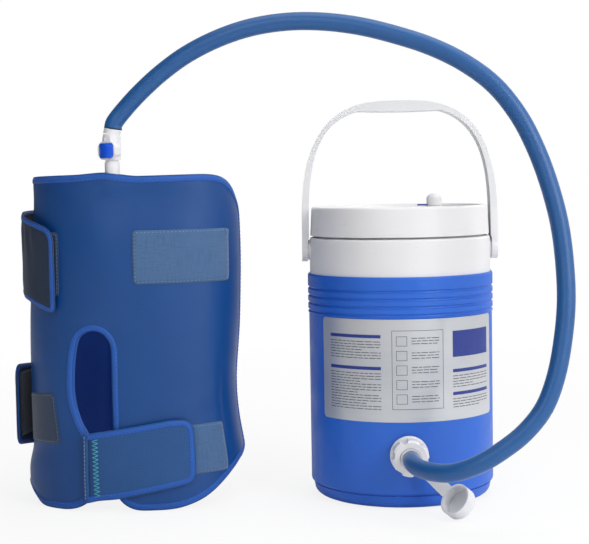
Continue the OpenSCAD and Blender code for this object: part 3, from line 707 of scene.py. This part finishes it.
def cloth_solid(name, loop, surface, outer, inner, step, material, thin, run, ripple=None):
    """A closed piece of cloth over an outline, thinner within run of its edge: thin is its share there."""
    pts, tris, rim = filled(loop, step)
    near = edge_distance(pts, loop)
    middle = (outer + inner) / 2
    points = []
    for face_off in (outer, inner):
        for p, d in zip(pts, near):
            t = 1 - min(d / run, 1)
            share = thin + (1 - thin) * sqrt(max(1 - t * t, 0))
            off = middle + (face_off - middle) * share
            if ripple:
                off += ripple(p[0], p[1], d)
            points.append(surface(p[0], p[1], off))
    n = len(pts)
    faces = tris + [tuple(i + n for i in reversed(f)) for f in tris]
    faces += [(a, b, b + n, a + n) for a, b in zip(rim, rim[1:] + rim[:1])]
    uvs = [(p[0] * MM, p[1] * MM) for p in pts] * 2
    return put_mesh(name, points, faces, material, uvs, outward=True), pts, near


def sewn(name, body, slot, node, *shape):
    """A piece of cloth that stands for a node. The shape is the rest of what cloth_solid takes."""
    finished(cloth_solid(name, *shape)[0], body, node)


PUCKER = 0.12


def tape(name, body, node, line, closed, surface, width, outer, inner, side, crown=0.8):
    """Edge tape folded over the cloth's edge: a flattened tube along the outline."""
    middle = (outer + inner) / 2
    half = [(width, -0.8), (width - 0.2, 0.45 * crown), (width * 0.75, crown), (width * 0.45, 0.9 * crown),
            (width * 0.18, 0.2 * crown)]
    if outer - inner >= 3.6:
        half.append((0.15, -1.0))
    section = [(k, outer + rise) for k, rise in half] + [(-0.35, middle)]
    section += [(k, inner - rise) for k, rise in reversed(half)]
    pts = [Vector(p) for p in line]
    points, uvs = [], []
    for i, (p, run) in enumerate(zip(pts, runs(pts))):
        inward = left_of(heading(pts, i, closed)) * side
        puff = PUCKER * wobble(run * 0.16, outer, 3.1) + PUCKER * 0.6 * wobble(run * 0.5, outer, 8.2)
        for j, (k, off) in enumerate(section):
            q = p + inward * k
            points.append(surface(q.x, q.y, off + (puff if off > middle else -puff)))
            uvs.append((run * MM, j * 1.3 * MM))
    faces = ring_faces(len(pts), len(section), closed)
    finished(put_mesh(name, points, faces, BINDING, uvs, outward=True), body, node)


def stitches(name, lines, surface, material, body, length=2.4, gap=1.1, r=0.22, zigzag=0.0):
    """Sewing thread along lines on the cloth, each given with its lift: one small bead per stitch."""
    bead = ring_faces(4, 4)
    points, faces = [], []
    for line, lift in lines:
        pts = [Vector(p) for p in line]
        run = runs(pts)
        d, flip = 0.4, 1
        while d + length < run[-1]:
            a, span = point_along(pts, run, d)
            b, _ = point_along(pts, run, d + length)
            across = left_of((pts[span + 1] - pts[span]).normalized()) * zigzag * flip
            flip = -flip
            p, q = (surface(e.x, e.y, lift) for e in (a - across, b + across))
            up = (surface(a.x, a.y, lift + 1) - surface(a.x, a.y, lift)).normalized()
            w = up.cross((q - p).normalized()).normalized()
            faces += [tuple(len(points) + k for k in f) for f in bead]
            for share, fat in ((0, 0.35), (0.2, 1), (0.8, 1), (1, 0.35)):
                c = p.lerp(q, share) + up * (-0.15 if fat < 1 else 0.1)
                points += [c + way * r * fat for way in (-w, up, w, -up)]
            d += length + gap
    finished(put_mesh(name, points, faces, material), body)


def inflate(obj, held, pressure, cap, frames=20):
    """Puffs a closed cloth form with a cloth simulation, its edges held, and keeps the result."""
    obj.vertex_groups.new(name="held").add(held, 1.0, "REPLACE")
    cloth = obj.modifiers.new("cloth", "CLOTH")
    settings = {"quality": 5, "mass": 0.25, "tension_stiffness": 20, "compression_stiffness": 12,
                "bending_stiffness": 1.5, "use_pressure": True, "uniform_pressure_force": pressure,
                "vertex_group_mass": "held"}
    for key, value in settings.items():
        setattr(cloth.settings, key, value)
    cloth.settings.effector_weights.gravity = 0
    cloth.collision_settings.use_collision = False
    cloth.collision_settings.use_self_collision = False
    cloth.point_cache.frame_start, cloth.point_cache.frame_end = 1, frames
    for f in range(1, frames + 1):
        bpy.context.scene.frame_set(f)
    puffed = obj.evaluated_get(bpy.context.evaluated_depsgraph_get())
    after = [v.co.copy() for v in puffed.to_mesh().vertices]
    puffed.to_mesh_clear()
    obj.modifiers.remove(cloth)
    bpy.context.scene.frame_set(1)
    for v, moved in zip(obj.data.vertices, after):
        step = moved - v.co
        if step.length > 1e-9:
            v.co += step * (cap * MM * tanh(step.length / (cap * MM)) / step.length)


# ------ knee wrap

HOLE_TOP = 167
SLOT_LEFT, SLOT_RIGHT, BACK_END = -30, -16, -30
RIM_TAPE, HOLE_TAPE = 6.5, 5.8
TAPE_OUTER, TAPE_INNER = -1.1, -6.3
PAD_OUTER, PAD_INNER = -0.9, -6.4


def hole_line():
    """Edge of the kneecap opening, from the slot's right side up and round to its left side."""
    return laid([(SLOT_RIGHT, 50), (SLOT_RIGHT, 150)]
                + arc(SLOT_RIGHT - 17, HOLE_TOP - 17, 17, 17, 0, 155, 12)
                + [(-52, 140), (-53.2, 126), (-53.4, 112), (-51.6, 97), (-46.5, 82), (-38, 68),
                   (SLOT_LEFT + 1, 58), (SLOT_LEFT, 50)])


def rim_line():
    """The wrap's other edges, from the slot's left side round the back flap to the slot's right side."""
    left_lobe = laid(arc(-64, 30, 34, 30, 0, -90) + arc(-84, 20, 17, 20, -90, -180, 6))
    flap = laid([(-95, 8), (-82, 0)] + arc(BACK_END - 20, 20, 20, 20, -90, 0)
                + arc(BACK_END - 14, WRAP_H - 20, 14, 20, 0, 90, 6), back=True)
    top = laid([(-95, WRAP_H), (-45, WRAP_H + 1), (-20, WRAP_H + 3), (10, WRAP_H - 1), (68, WRAP_H)]
                + square_arc(70, 256, 31.5, 52, 3.3, 12))
    right = laid([(101, 45), (97, 38), (91, 30), (84, 22), (76, 14.5), (67, 8.5), (56, 4), (44, 1), (32, 0)]
                  + arc(9, 25, 25, 25, -90, -180, 6))
    return left_lobe[:-1] + flap + top + [(0, 256), (0, 200), (0, 120)] + right


HOLE = evened(hole_line(), 3.0, closed=False)
RIM = evened([HOLE[-1]] + rim_line() + [HOLE[0]], 3.0, closed=False, rounds=3)
WRAP_LOOP = RIM[:-1] + HOLE[:-1]
RIM_SIDE = turn_of(WRAP_LOOP)


def wrap_folds(s, z, d):
    """Soft folds and puckers of the filled wrap, out from its face. d is the distance to its edge."""
    u_right = WRAP_OVAL.s_of(84)
    fold = -1.6 * bell(s, u_right - 8 + (z - 95) * 0.06, 5) * bell(z, 92, 34)
    fold += 1.0 * bell(s, u_right + 4 + (z - 95) * 0.06, 7) * bell(z, 92, 38)
    near_strap = bell(s, WRAP_OVAL.s_of(64), 26) * bell(z, 92, 20)
    wave = sin((s * 0.6 + z * 1.1) / 6.5 + 1.6 * wobble(s / 30, z / 30))
    creases = -0.8 * near_strap * (0.5 + 0.5 * wave)
    pucker = 0.35 * wobble(s / 11, z / 11, 2.0) * bell(d, 10, 9)
    large = 0.9 * wobble(s / 60, z / 75, 5.0) + 0.35 * wobble(s / 26, z / 32, 9.0)
    top_dip = -1.6 * bell(s, WRAP_OVAL.s_of(24), 18) * bell(z, 290, 22)
    swell = 4.0 * bell(z, 232, 48) * bell(s, WRAP_OVAL.s_of(-14), 40)
    return smooth(6.5, 18, d) * (fold + creases + pucker + large + top_dip + swell)


def make_wrap():
    """The padded wrap: nylon cover, water bladder and lining, all from one inflated form."""
    pad, pts, near = cloth_solid("wrap_form", WRAP_LOOP, on_wrap, PAD_OUTER, PAD_INNER, 4.6, NYLON, 0.78, 16)
    n = len(pts)
    inflate(pad, [i for i in range(2 * n) if near[i % n] < 6.8], pressure=4.0, cap=2.6)
    pad.data.update()
    for i, v in enumerate(pad.data.vertices):
        s, z = pts[i % n]
        _, out = WRAP_OVAL.at(s)
        v.co += Vector((out.x, out.y, 0)) * wrap_folds(s, z, near[i % n]) * MM
    pad.data.update()

    coords = [v.co / MM for v in pad.data.vertices]
    ways = [v.normal.copy() for v in pad.data.vertices]
    polygons = [tuple(p.vertices) for p in pad.data.polygons]
    uvs = [(p[0] * MM, p[1] * MM) for p in pts] * 2
    bpy.data.objects.remove(pad)

    def skin(name, chosen, depth, material, node):
        """A thin closed layer cut from one face of the form."""
        used = sorted({i for f in chosen for i in f})
        index = {i: k for k, i in enumerate(used)}
        m = len(used)
        points = [coords[i] for i in used] + [coords[i] - ways[i] * depth for i in used]
        faces = [tuple(index[i] for i in f) for f in chosen]
        faces += [tuple(index[i] + m for i in reversed(f)) for f in chosen]
        edges = dict.fromkeys(edge for f in chosen for edge in zip(f, f[1:] + f[:1]))
        faces += [(index[b], index[a], index[a] + m, index[b] + m) for a, b in edges if (b, a) not in edges]
        piece = put_mesh(name, points, faces, material, [uvs[i] for i in used] * 2, outward=True)
        return finished(piece, "cooler", node)

    outside = [f for f in polygons if max(f) < n]
    inner_side = [f for f in polygons if min(f) >= n]
    cover = skin("wrap_cover_cloth", outside, 0.9, NYLON, "wrap_cover")
    skin("wrap_lining_cloth", inner_side, 0.9, LINING, "wrap_lining")
    film = [c - w * 1.3 for c, w in zip(coords, ways)]
    bladder = put_mesh("wrap_bladder_film", film, polygons, FILM, uvs=uvs)
    finished(bladder, "cooler", "wrap_bladder")
    return BVHTree.FromPolygons(coords, polygons)


COVER_FACE = make_wrap()


def on_cover(s, z, lift):
    """A point above the inflated cover."""
    _, n = WRAP_OVAL.at(s)
    out = Vector((n.x, n.y, 0))
    hit = COVER_FACE.ray_cast(on_wrap(s, z, 14), -out, 24)[0]
    if hit is None:
        hit = on_wrap(s, z, -1.2)
    return hit + out * lift


def make_bindings():
    """Tape over the wrap's edges, with a row of stitches along each."""
    rows = []
    for node, edge, width in (("wrap_binding", RIM, RIM_TAPE), ("opening_binding", HOLE, HOLE_TAPE)):
        line = evened(edge, 2.6, closed=False, rounds=1)
        tape(node + "_tape", "cooler", node, line, False, on_wrap, width, TAPE_OUTER, TAPE_INNER, RIM_SIDE)
        rows.append((inset_line(line, width - 1.2, RIM_SIDE), -0.35))
    stitches("wrap_binding_stitches", rows, on_wrap, THREAD_BLUE, "cooler",
             length=2.6, gap=1.2)


def rounded_box(u0, u1, z0, z1, r=2.5):
    return (arc(u1 - r, z1 - r, r, r, 90, 0, 3) + arc(u1 - r, z0 + r, r, r, 0, -90, 3)
            + arc(u0 + r, z0 + r, r, r, -90, -180, 3) + arc(u0 + r, z1 - r, r, r, 180, 90, 3))


def make_patch(node, outline, material, curl=None):
    """A sewn loop patch that follows the cover, with its row of stitches."""
    loop = evened(laid(outline), 2.0, rounds=1)

    def surface(s, z, off):
        return on_cover(s, z, off + (curl(s, z) if curl else 0))

    def weave(s, z, d):
        return 0.10 * wobble(s / 2.2, z / 2.2, 4.0) + 0.12 * wobble(s / 14, z / 14, 6.0)
    name = node + "_cloth"
    sewn(name, "cooler", "loop_fabric", node, loop, surface, 0.9, -0.3, 3.0, material, 0.6, 2.5, weave)
    row = inset_line(loop + loop[:1], 1.9, turn_of(loop))
    stitches(name + "_stitches", [(row, 0.85)], surface, THREAD_PALE, "cooler",
             length=2.2, gap=1.3, r=0.18)


def make_patches():
    """Two patches on the front and two at its left, under the straps' ends, these in a darker copy of the
    loop cloth: painted shade.
    """
    corner_s, corner_z = WRAP_OVAL.s_of(91), 258

    def curl(s, z):
        return 1.6 * smooth(7, 0, hypot(s - corner_s, z - corner_z))
    make_patch("loop_patch_upper", rounded_box(6.5, 91, 209, 258), LOOPS, curl)
    make_patch("loop_patch_lower", [(20, 77), (84, 78), (85, 77), (86.5, 33), (85.5, 32), (20, 31)], LOOPS)
    # The side patches take the darker copy of the loop cloth: painted shade under the straps' ends.
    make_patch("loop_patch_side_upper", rounded_box(-99, -64.5, 198, 257), SHADED_LOOPS)
    make_patch("loop_patch_side_lower",
               [(-99, 104), (-73, 108), (-71.5, 106), (-66.5, 63), (-68, 61), (-99, 59)], SHADED_LOOPS)


make_bindings()
make_patches()


# ------ straps

HINGE_U = -90
STRAP_HALF = 1.3
TAB_BIND = 5


def make_back_strap(which, low, high):
    """Wide elastic that runs round the back, from the fold to the right edge."""
    start, end = STRAP_OVAL.s_of(HINGE_U, back=True), STRAP_OVAL.run[-1] - 0.5
    loop = evened([(start, low), (end, low), (end, high), (start, high)], 4, rounds=0)

    def ripple(s, z, d):
        return 0.16 * sin(z * TAU / 3.2) + 0.25 * wobble(s / 40, z / 30, 1.0)
    name = which + "_strap_elastic"
    sewn(name, "cooler", "strap_fabric", which + "_strap", loop, on_strap, STRAP_HALF, -STRAP_HALF, 4,
         STRAP_DARK, 0.55, 3, ripple)
    along = [start + 2 + (end - start - 4) * i / 60 for i in range(61)]
    rows = [([(s, z) for s in along], 1.45) for z in (low + 3.5, high - 3.5)]
    stitches(name + "_stitches", rows, on_strap, THREAD_BLUE, "cooler", length=2.6, gap=1.6)


def make_tab(which, loop, hook_loop, surface, step, ripple):
    """A strap's end: its cloth, the tape and stitches round its edge, and the hook patch behind it."""
    body = which + "_tab"
    side = turn_of(loop)
    sewn(which + "_strap_tab_cloth", body, "strap_fabric", which + "_strap_tab", loop, surface,
         STRAP_HALF, -STRAP_HALF, step, STRAP_DARK, 0.5, 6, ripple)
    tape(which + "_tab_binding_tape", body, which + "_tab_binding", loop, True, surface, TAB_BIND,
         0.75, -0.75, side, crown=0.75)
    row = inset_line(loop, TAB_BIND - 1.1, side, True)
    stitches(which + "_tab_stitches", [(row, 1.35)], surface, THREAD_BLUE, body)
    sewn(which + "_hook_cloth", body, "hook_fabric", which + "_hook_patch", evened(hook_loop, 2.5, rounds=1),
         surface, -1.2, -2.1, 3, HOOKS, 0.7, 2)


def make_upper_tab():
    """End of the upper strap: it comes round to the front left and slopes down, with soft gathers."""
    fold = STRAP_OVAL.s_of(HINGE_U - 0.4, back=True)
    s_mid = STRAP_OVAL.s_of(-96)
    outline = ([(-104, 275), (-88, 267)] + arc(-79, 248, 12, 15, 80, 0, 6)
               + [(-67, 186), (-68.5, 183), (-72, 183), (-94, 193), (-104, 198)])
    loop = [(STRAP_OVAL.s_of(clamp(u, -104.3, 90)), z) for u, z in outline]
    loop = evened([(fold, 276)] + loop + [(fold, 198)], 2.6, rounds=2)
    hook_loop = [(STRAP_OVAL.s_of(u), z) for u, z in rounded_box(-97, -74, 201, 250)]

    def gathers(s, z, d):
        pull = smooth(60, 0, 268 - z) * smooth(4, 12, d)
        soft = 0.9 * sin(s / 2.6 + 1.2 * wobble(s / 20, z / 30)) * pull * bell(s, s_mid, 30)
        return soft + 0.7 * wobble(s / 24, z / 30, 7.0) * smooth(4, 14, d)
    make_tab("upper", loop, hook_loop, on_strap, 3.2, gathers)


FLAP_START, FLAP_END, FLAP_OUT, FLAP_LONG = 46.0, -22.0, 11.0, 72.0


def on_flap(s, z, off):
    """A place on the lower flap, s from its fold to its free end."""
    def line(t):
        y = FLAP_START + (FLAP_END - FLAP_START) * t
        side = 1 - min((abs(y) / (WRAP_B + STRAP_RISE)) ** OVAL_N, 0.999)
        return Vector((STRAP_SHIFT - FLAP_OUT * t * t - WRAP_A * side ** (1 / OVAL_N), y))
    t = clamp(s / FLAP_LONG)
    way = (line(min(t + 0.01, 1)) - line(max(t - 0.01, 0))).normalized()
    p = line(t) - left_of(way) * off
    return Vector((WRAP_X + p.x, p.y, z))


def make_lower_tab():
    """End of the lower strap: it stands off the wrap and points to the front."""
    scale = FLAP_LONG / (FLAP_START - FLAP_END)

    def along(points):
        """Points seen from the side as (distance to the front, z), laid along the flap."""
        return [((y + FLAP_START) * scale, z) for y, z in points]
    end = -FLAP_END
    loop = along([(-FLAP_START + 0.5, 45), (end - 10, 53)] + arc(end - 10, 63, 10, 10, -90, 0, 6)
                 + arc(end - 10, 120, 10, 10, 0, 90, 6) + [(-FLAP_START + 0.5, 125)])
    hook_loop = along([(-23, 61), (14, 61), (14, 122), (-23, 122)])

    def soft(s, z, d):
        return 0.8 * wobble(s / 22, z / 26, 11.0) * smooth(4, 14, d)
    make_tab("lower", evened(loop, 2.6, rounds=1), hook_loop, on_flap, 3.4, soft)


def make_front_strap():
    """Strap over the slot: sewn to the left lobe with a teal zigzag, closed on the right patch."""
    fold, outer, inner = -37.0, 5.0, 2.8
    end = arc(47.5, 73, 9.5, 10.5, 90, 0, 6) + arc(47.5, 34, 9.5, 10.5, 0, -90, 6) + [(-12, 12.5), (-30, 11)]
    loop = evened(laid([(fold, 72.5), (35, 83.5)] + end + [(fold, 9)]), 2.6, rounds=1)
    side = turn_of(loop)

    def soft(s, z, d):
        return 0.5 * wobble(s / 30, z / 22, 12.0) * smooth(4, 14, d)
    sewn("front_strap_cloth", "front_flap", "strap_fabric", "front_strap", loop, on_wrap, outer, inner, 3.4,
         STRAP_BLUE, 0.6, 6, soft)
    bound = laid([(-40, 71.8), (fold, 72.5), (35, 83.5)] + end + [(fold, 9), (-40, 8.6)])
    bound = evened(bound, 2.6, closed=False, rounds=1)
    tape("front_strap_binding_tape", "front_flap", "front_strap_binding", bound, False, on_wrap,
         TAB_BIND + 0.6, outer - 0.4, inner + 0.3, side, crown=0.85)
    row = inset_line(bound, TAB_BIND - 0.6, side)
    stitches("front_strap_stitches", [(row, outer + 0.35)], on_wrap, THREAD_BLUE, "front_flap")
    hook_loop = evened(laid(rounded_box(24, 50, 32, 74)), 2.5, rounds=1)
    sewn("front_hook_cloth", "front_flap", "hook_fabric", "front_hook_patch", hook_loop, on_wrap,
         inner, inner - 1.05, 3, HOOKS, 0.7, 2)

    seam_loop = evened(laid([(-42, 8), (-42, 72), (-37.4, 72.5), (-37.4, 9)]), 1.5, rounds=0)
    sewn("front_strap_seam_cloth", "cooler", "strap_fabric", "front_strap_seam", seam_loop, on_wrap,
         outer, 0.2, 1.6, STRAP_BLUE, 0.8, 2)
    zigzag = evened(laid([(-31.5, 68), (-30, 14)]), 2, closed=False, rounds=0)
    stitches("front_strap_zigzag", [(zigzag, outer + 0.15)], on_wrap, THREAD_TEAL, "front_flap",
             length=1.7, gap=0.15, r=0.42, zigzag=2.7)
    straight = evened(laid([(-41.0, 70.5), (-40.4, 10.5)]), 2, closed=False, rounds=0)
    stitches("seam_straight_stitches", [(straight, outer + 0.1)], on_wrap, THREAD_PALE, "cooler",
             length=2.6, gap=0.9, r=0.35)


make_back_strap("upper", 198, 276)
make_back_strap("lower", 45, 125)
make_upper_tab()
make_lower_tab()
make_front_strap()


# ------ label print

LABEL_R, LABEL_LEFT = 88.0, radians(-149.0)
LEFT_COLUMN, MIDDLE_PANEL, RIGHT_COLUMN = (12, 66), (76, 124), (134, 184)
BAR_H = 3


def make_label_print():
    """Blank panels and plain rules on the label, as a generic instruction label has them."""
    rng = random.Random(4)
    r = LABEL_R + 0.07
    navy, grey = ([], []), ([], [])

    def strip(store, s0, s1, z0, z1):
        """A printed area from s0 to s1, counted round the barrel from the label's left edge."""
        points, faces = store
        steps = max(int(abs(s1 - s0) / 2.5), 1)
        first = len(points)
        for i in range(steps + 1):
            turn = LABEL_LEFT + (s0 + (s1 - s0) * i / steps) / LABEL_R
            points += [(r * cos(turn), r * sin(turn), z) for z in (z0, z1)]
        faces += [(a, a + 2, a + 3, a + 1) for a in range(first, first + 2 * steps, 2)]

    def rules(s0, s1, top, rows, pitch=2.5, height=0.7):
        for i in range(rows):
            end = s1 if (i % 4) < 3 else s0 + (s1 - s0) * rng.uniform(0.45, 0.8)
            z = top - i * pitch
            s = s0
            while s < end - 1.5:
                dash = rng.uniform(3, 8)
                strip(grey, s, min(s + dash, end), z - height, z)
                s += dash + 0.9

    def outline(s0, s1, z0, z1, w=0.45):
        strip(grey, s0, s1, z0, z0 + w)
        strip(grey, s0, s1, z1 - w, z1)
        strip(grey, s0, s0 + w, z0, z1)
        strip(grey, s1 - w, s1, z0, z1)

    def block(column, low, rows):
        """A navy bar with rules under it."""
        strip(navy, *column, low, low + BAR_H)
        rules(*column, low - BAR_H, rows)

    block(LEFT_COLUMN, 157, 7)
    block(LEFT_COLUMN, 128, 14)
    outline(*MIDDLE_PANEL, 92, 164)
    for i in range(5):
        low = 97 + i * 13.2
        outline(80, 90, low, low + 9)
        rules(94, 120, low + 7.5, 3)
    strip(navy, *RIGHT_COLUMN, 138, 162)
    block(RIGHT_COLUMN, 124, 5)
    block(RIGHT_COLUMN, 103, 4)
    finished(put_mesh("label_panels", *navy, NAVY_INK), "cooler")
    finished(put_mesh("label_rules", *grey, GREY_INK), "cooler")


make_label_print()


# ------ moulded details, and painted shade on the outlet's flange

NECK_R, THREAD_LOW, THREAD_RISE, THREAD_TURNS = 79.9, 248.2, 7.2, 1.5
OUTLET_Z, FLANGE_FACE = 51, 92.9
# inner and outer radius of the painted shade blocks on the outlet's flange
MARK_IN, MARK_OUT = 14.4, 16.0


def make_neck_thread():
    """One and a half turns of rounded thread on the neck, under the lid's skirt."""
    shape = [(0, -1.1), (1.4, -0.5), (1.7, 0), (1.4, 0.5), (0, 1.1)]
    points, rows = [], 240
    for i in range(rows + 1):
        turn = TAU * THREAD_TURNS * i / rows
        fade = smooth(0, 12, i) * smooth(rows, rows - 12, i)
        for proud, dz in shape:
            r = NECK_R + proud * fade
            points.append((r * cos(turn), r * sin(turn), THREAD_LOW + THREAD_RISE * i / rows + dz))
    faces = ring_faces(rows + 1, len(shape), capped=False)
    finished(put_mesh("neck_thread", points, faces, WHITE_PLASTIC, outward=True), "cooler")


def make_outlet_painted_shade():
    """Three small dark raised blocks on the outlet's flange, at the nut's edge: painted shade between the
    nut's lobes and the flange.
    """
    points, faces = [], []
    for turn in (128, 140, 152):
        a = radians(turn)
        radial, across = Vector((cos(a), sin(a))), Vector((-sin(a), cos(a)))
        first = len(points)
        for lift, half in ((0, 0.55), (0.35, 0.35)):
            for r, edge in ((MARK_IN, -half), (MARK_OUT, -half), (MARK_OUT, half), (MARK_IN, half)):
                p = radial * r + across * edge
                points.append((p.x, -FLANGE_FACE - lift, OUTLET_Z + p.y))
        faces.append(tuple(first + j for j in (4, 5, 6, 7)))
        faces += [(first + j, first + (j + 1) % 4, first + 4 + (j + 1) % 4, first + 4 + j) for j in range(4)]
    # The dark blocks are painted shade where the nut's lobes meet the flange.
    marks = put_mesh("outlet_painted_shade", points, faces, RUBBER_AND_PAINTED_SHADE, smooth_faces=False, outward=True)
    finished(marks, "cooler")


def dress_nodes():
    """Procedural finishes on the CAD nodes that keep their shape."""
    finishes = {
        BLUE_PLASTIC: "outer_shell",
        WHITE_PLASTIC: "collar lid_shell lid_liner pivot_caps outlet_body outlet_nut outlet_inner_nut "
                       "hose_ferrule coupler_body hose_barb wrap_stub inner_liner",
        SATIN_WHITE: "handle tether_cap vent_plug cap_seal",
        BLUE_RUBBER: "lid_seal vent_seal",
        RUBBER_AND_PAINTED_SHADE: "outlet_gasket inner_gasket coupler_seal",
        FOAM: "insulation_foam lid_foam",
        BUTTON_BLUE: "coupler_button",
        LABEL_FILM: "label_plate",
        STEEL: "latch_plate button_spring",
    }
    for material, names in finishes.items():
        for name in names.split():
            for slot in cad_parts[name].material_slots:
                slot.material = material


make_neck_thread()
make_outlet_painted_shade()
dress_nodes()


def settled(value):
    """Nested vectors as plain lists of numbers."""
    return [settled(v) for v in value] if hasattr(value, "__len__") else float(value)


{"cad": settled(CAD_BOX), "visual": settled(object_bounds())}
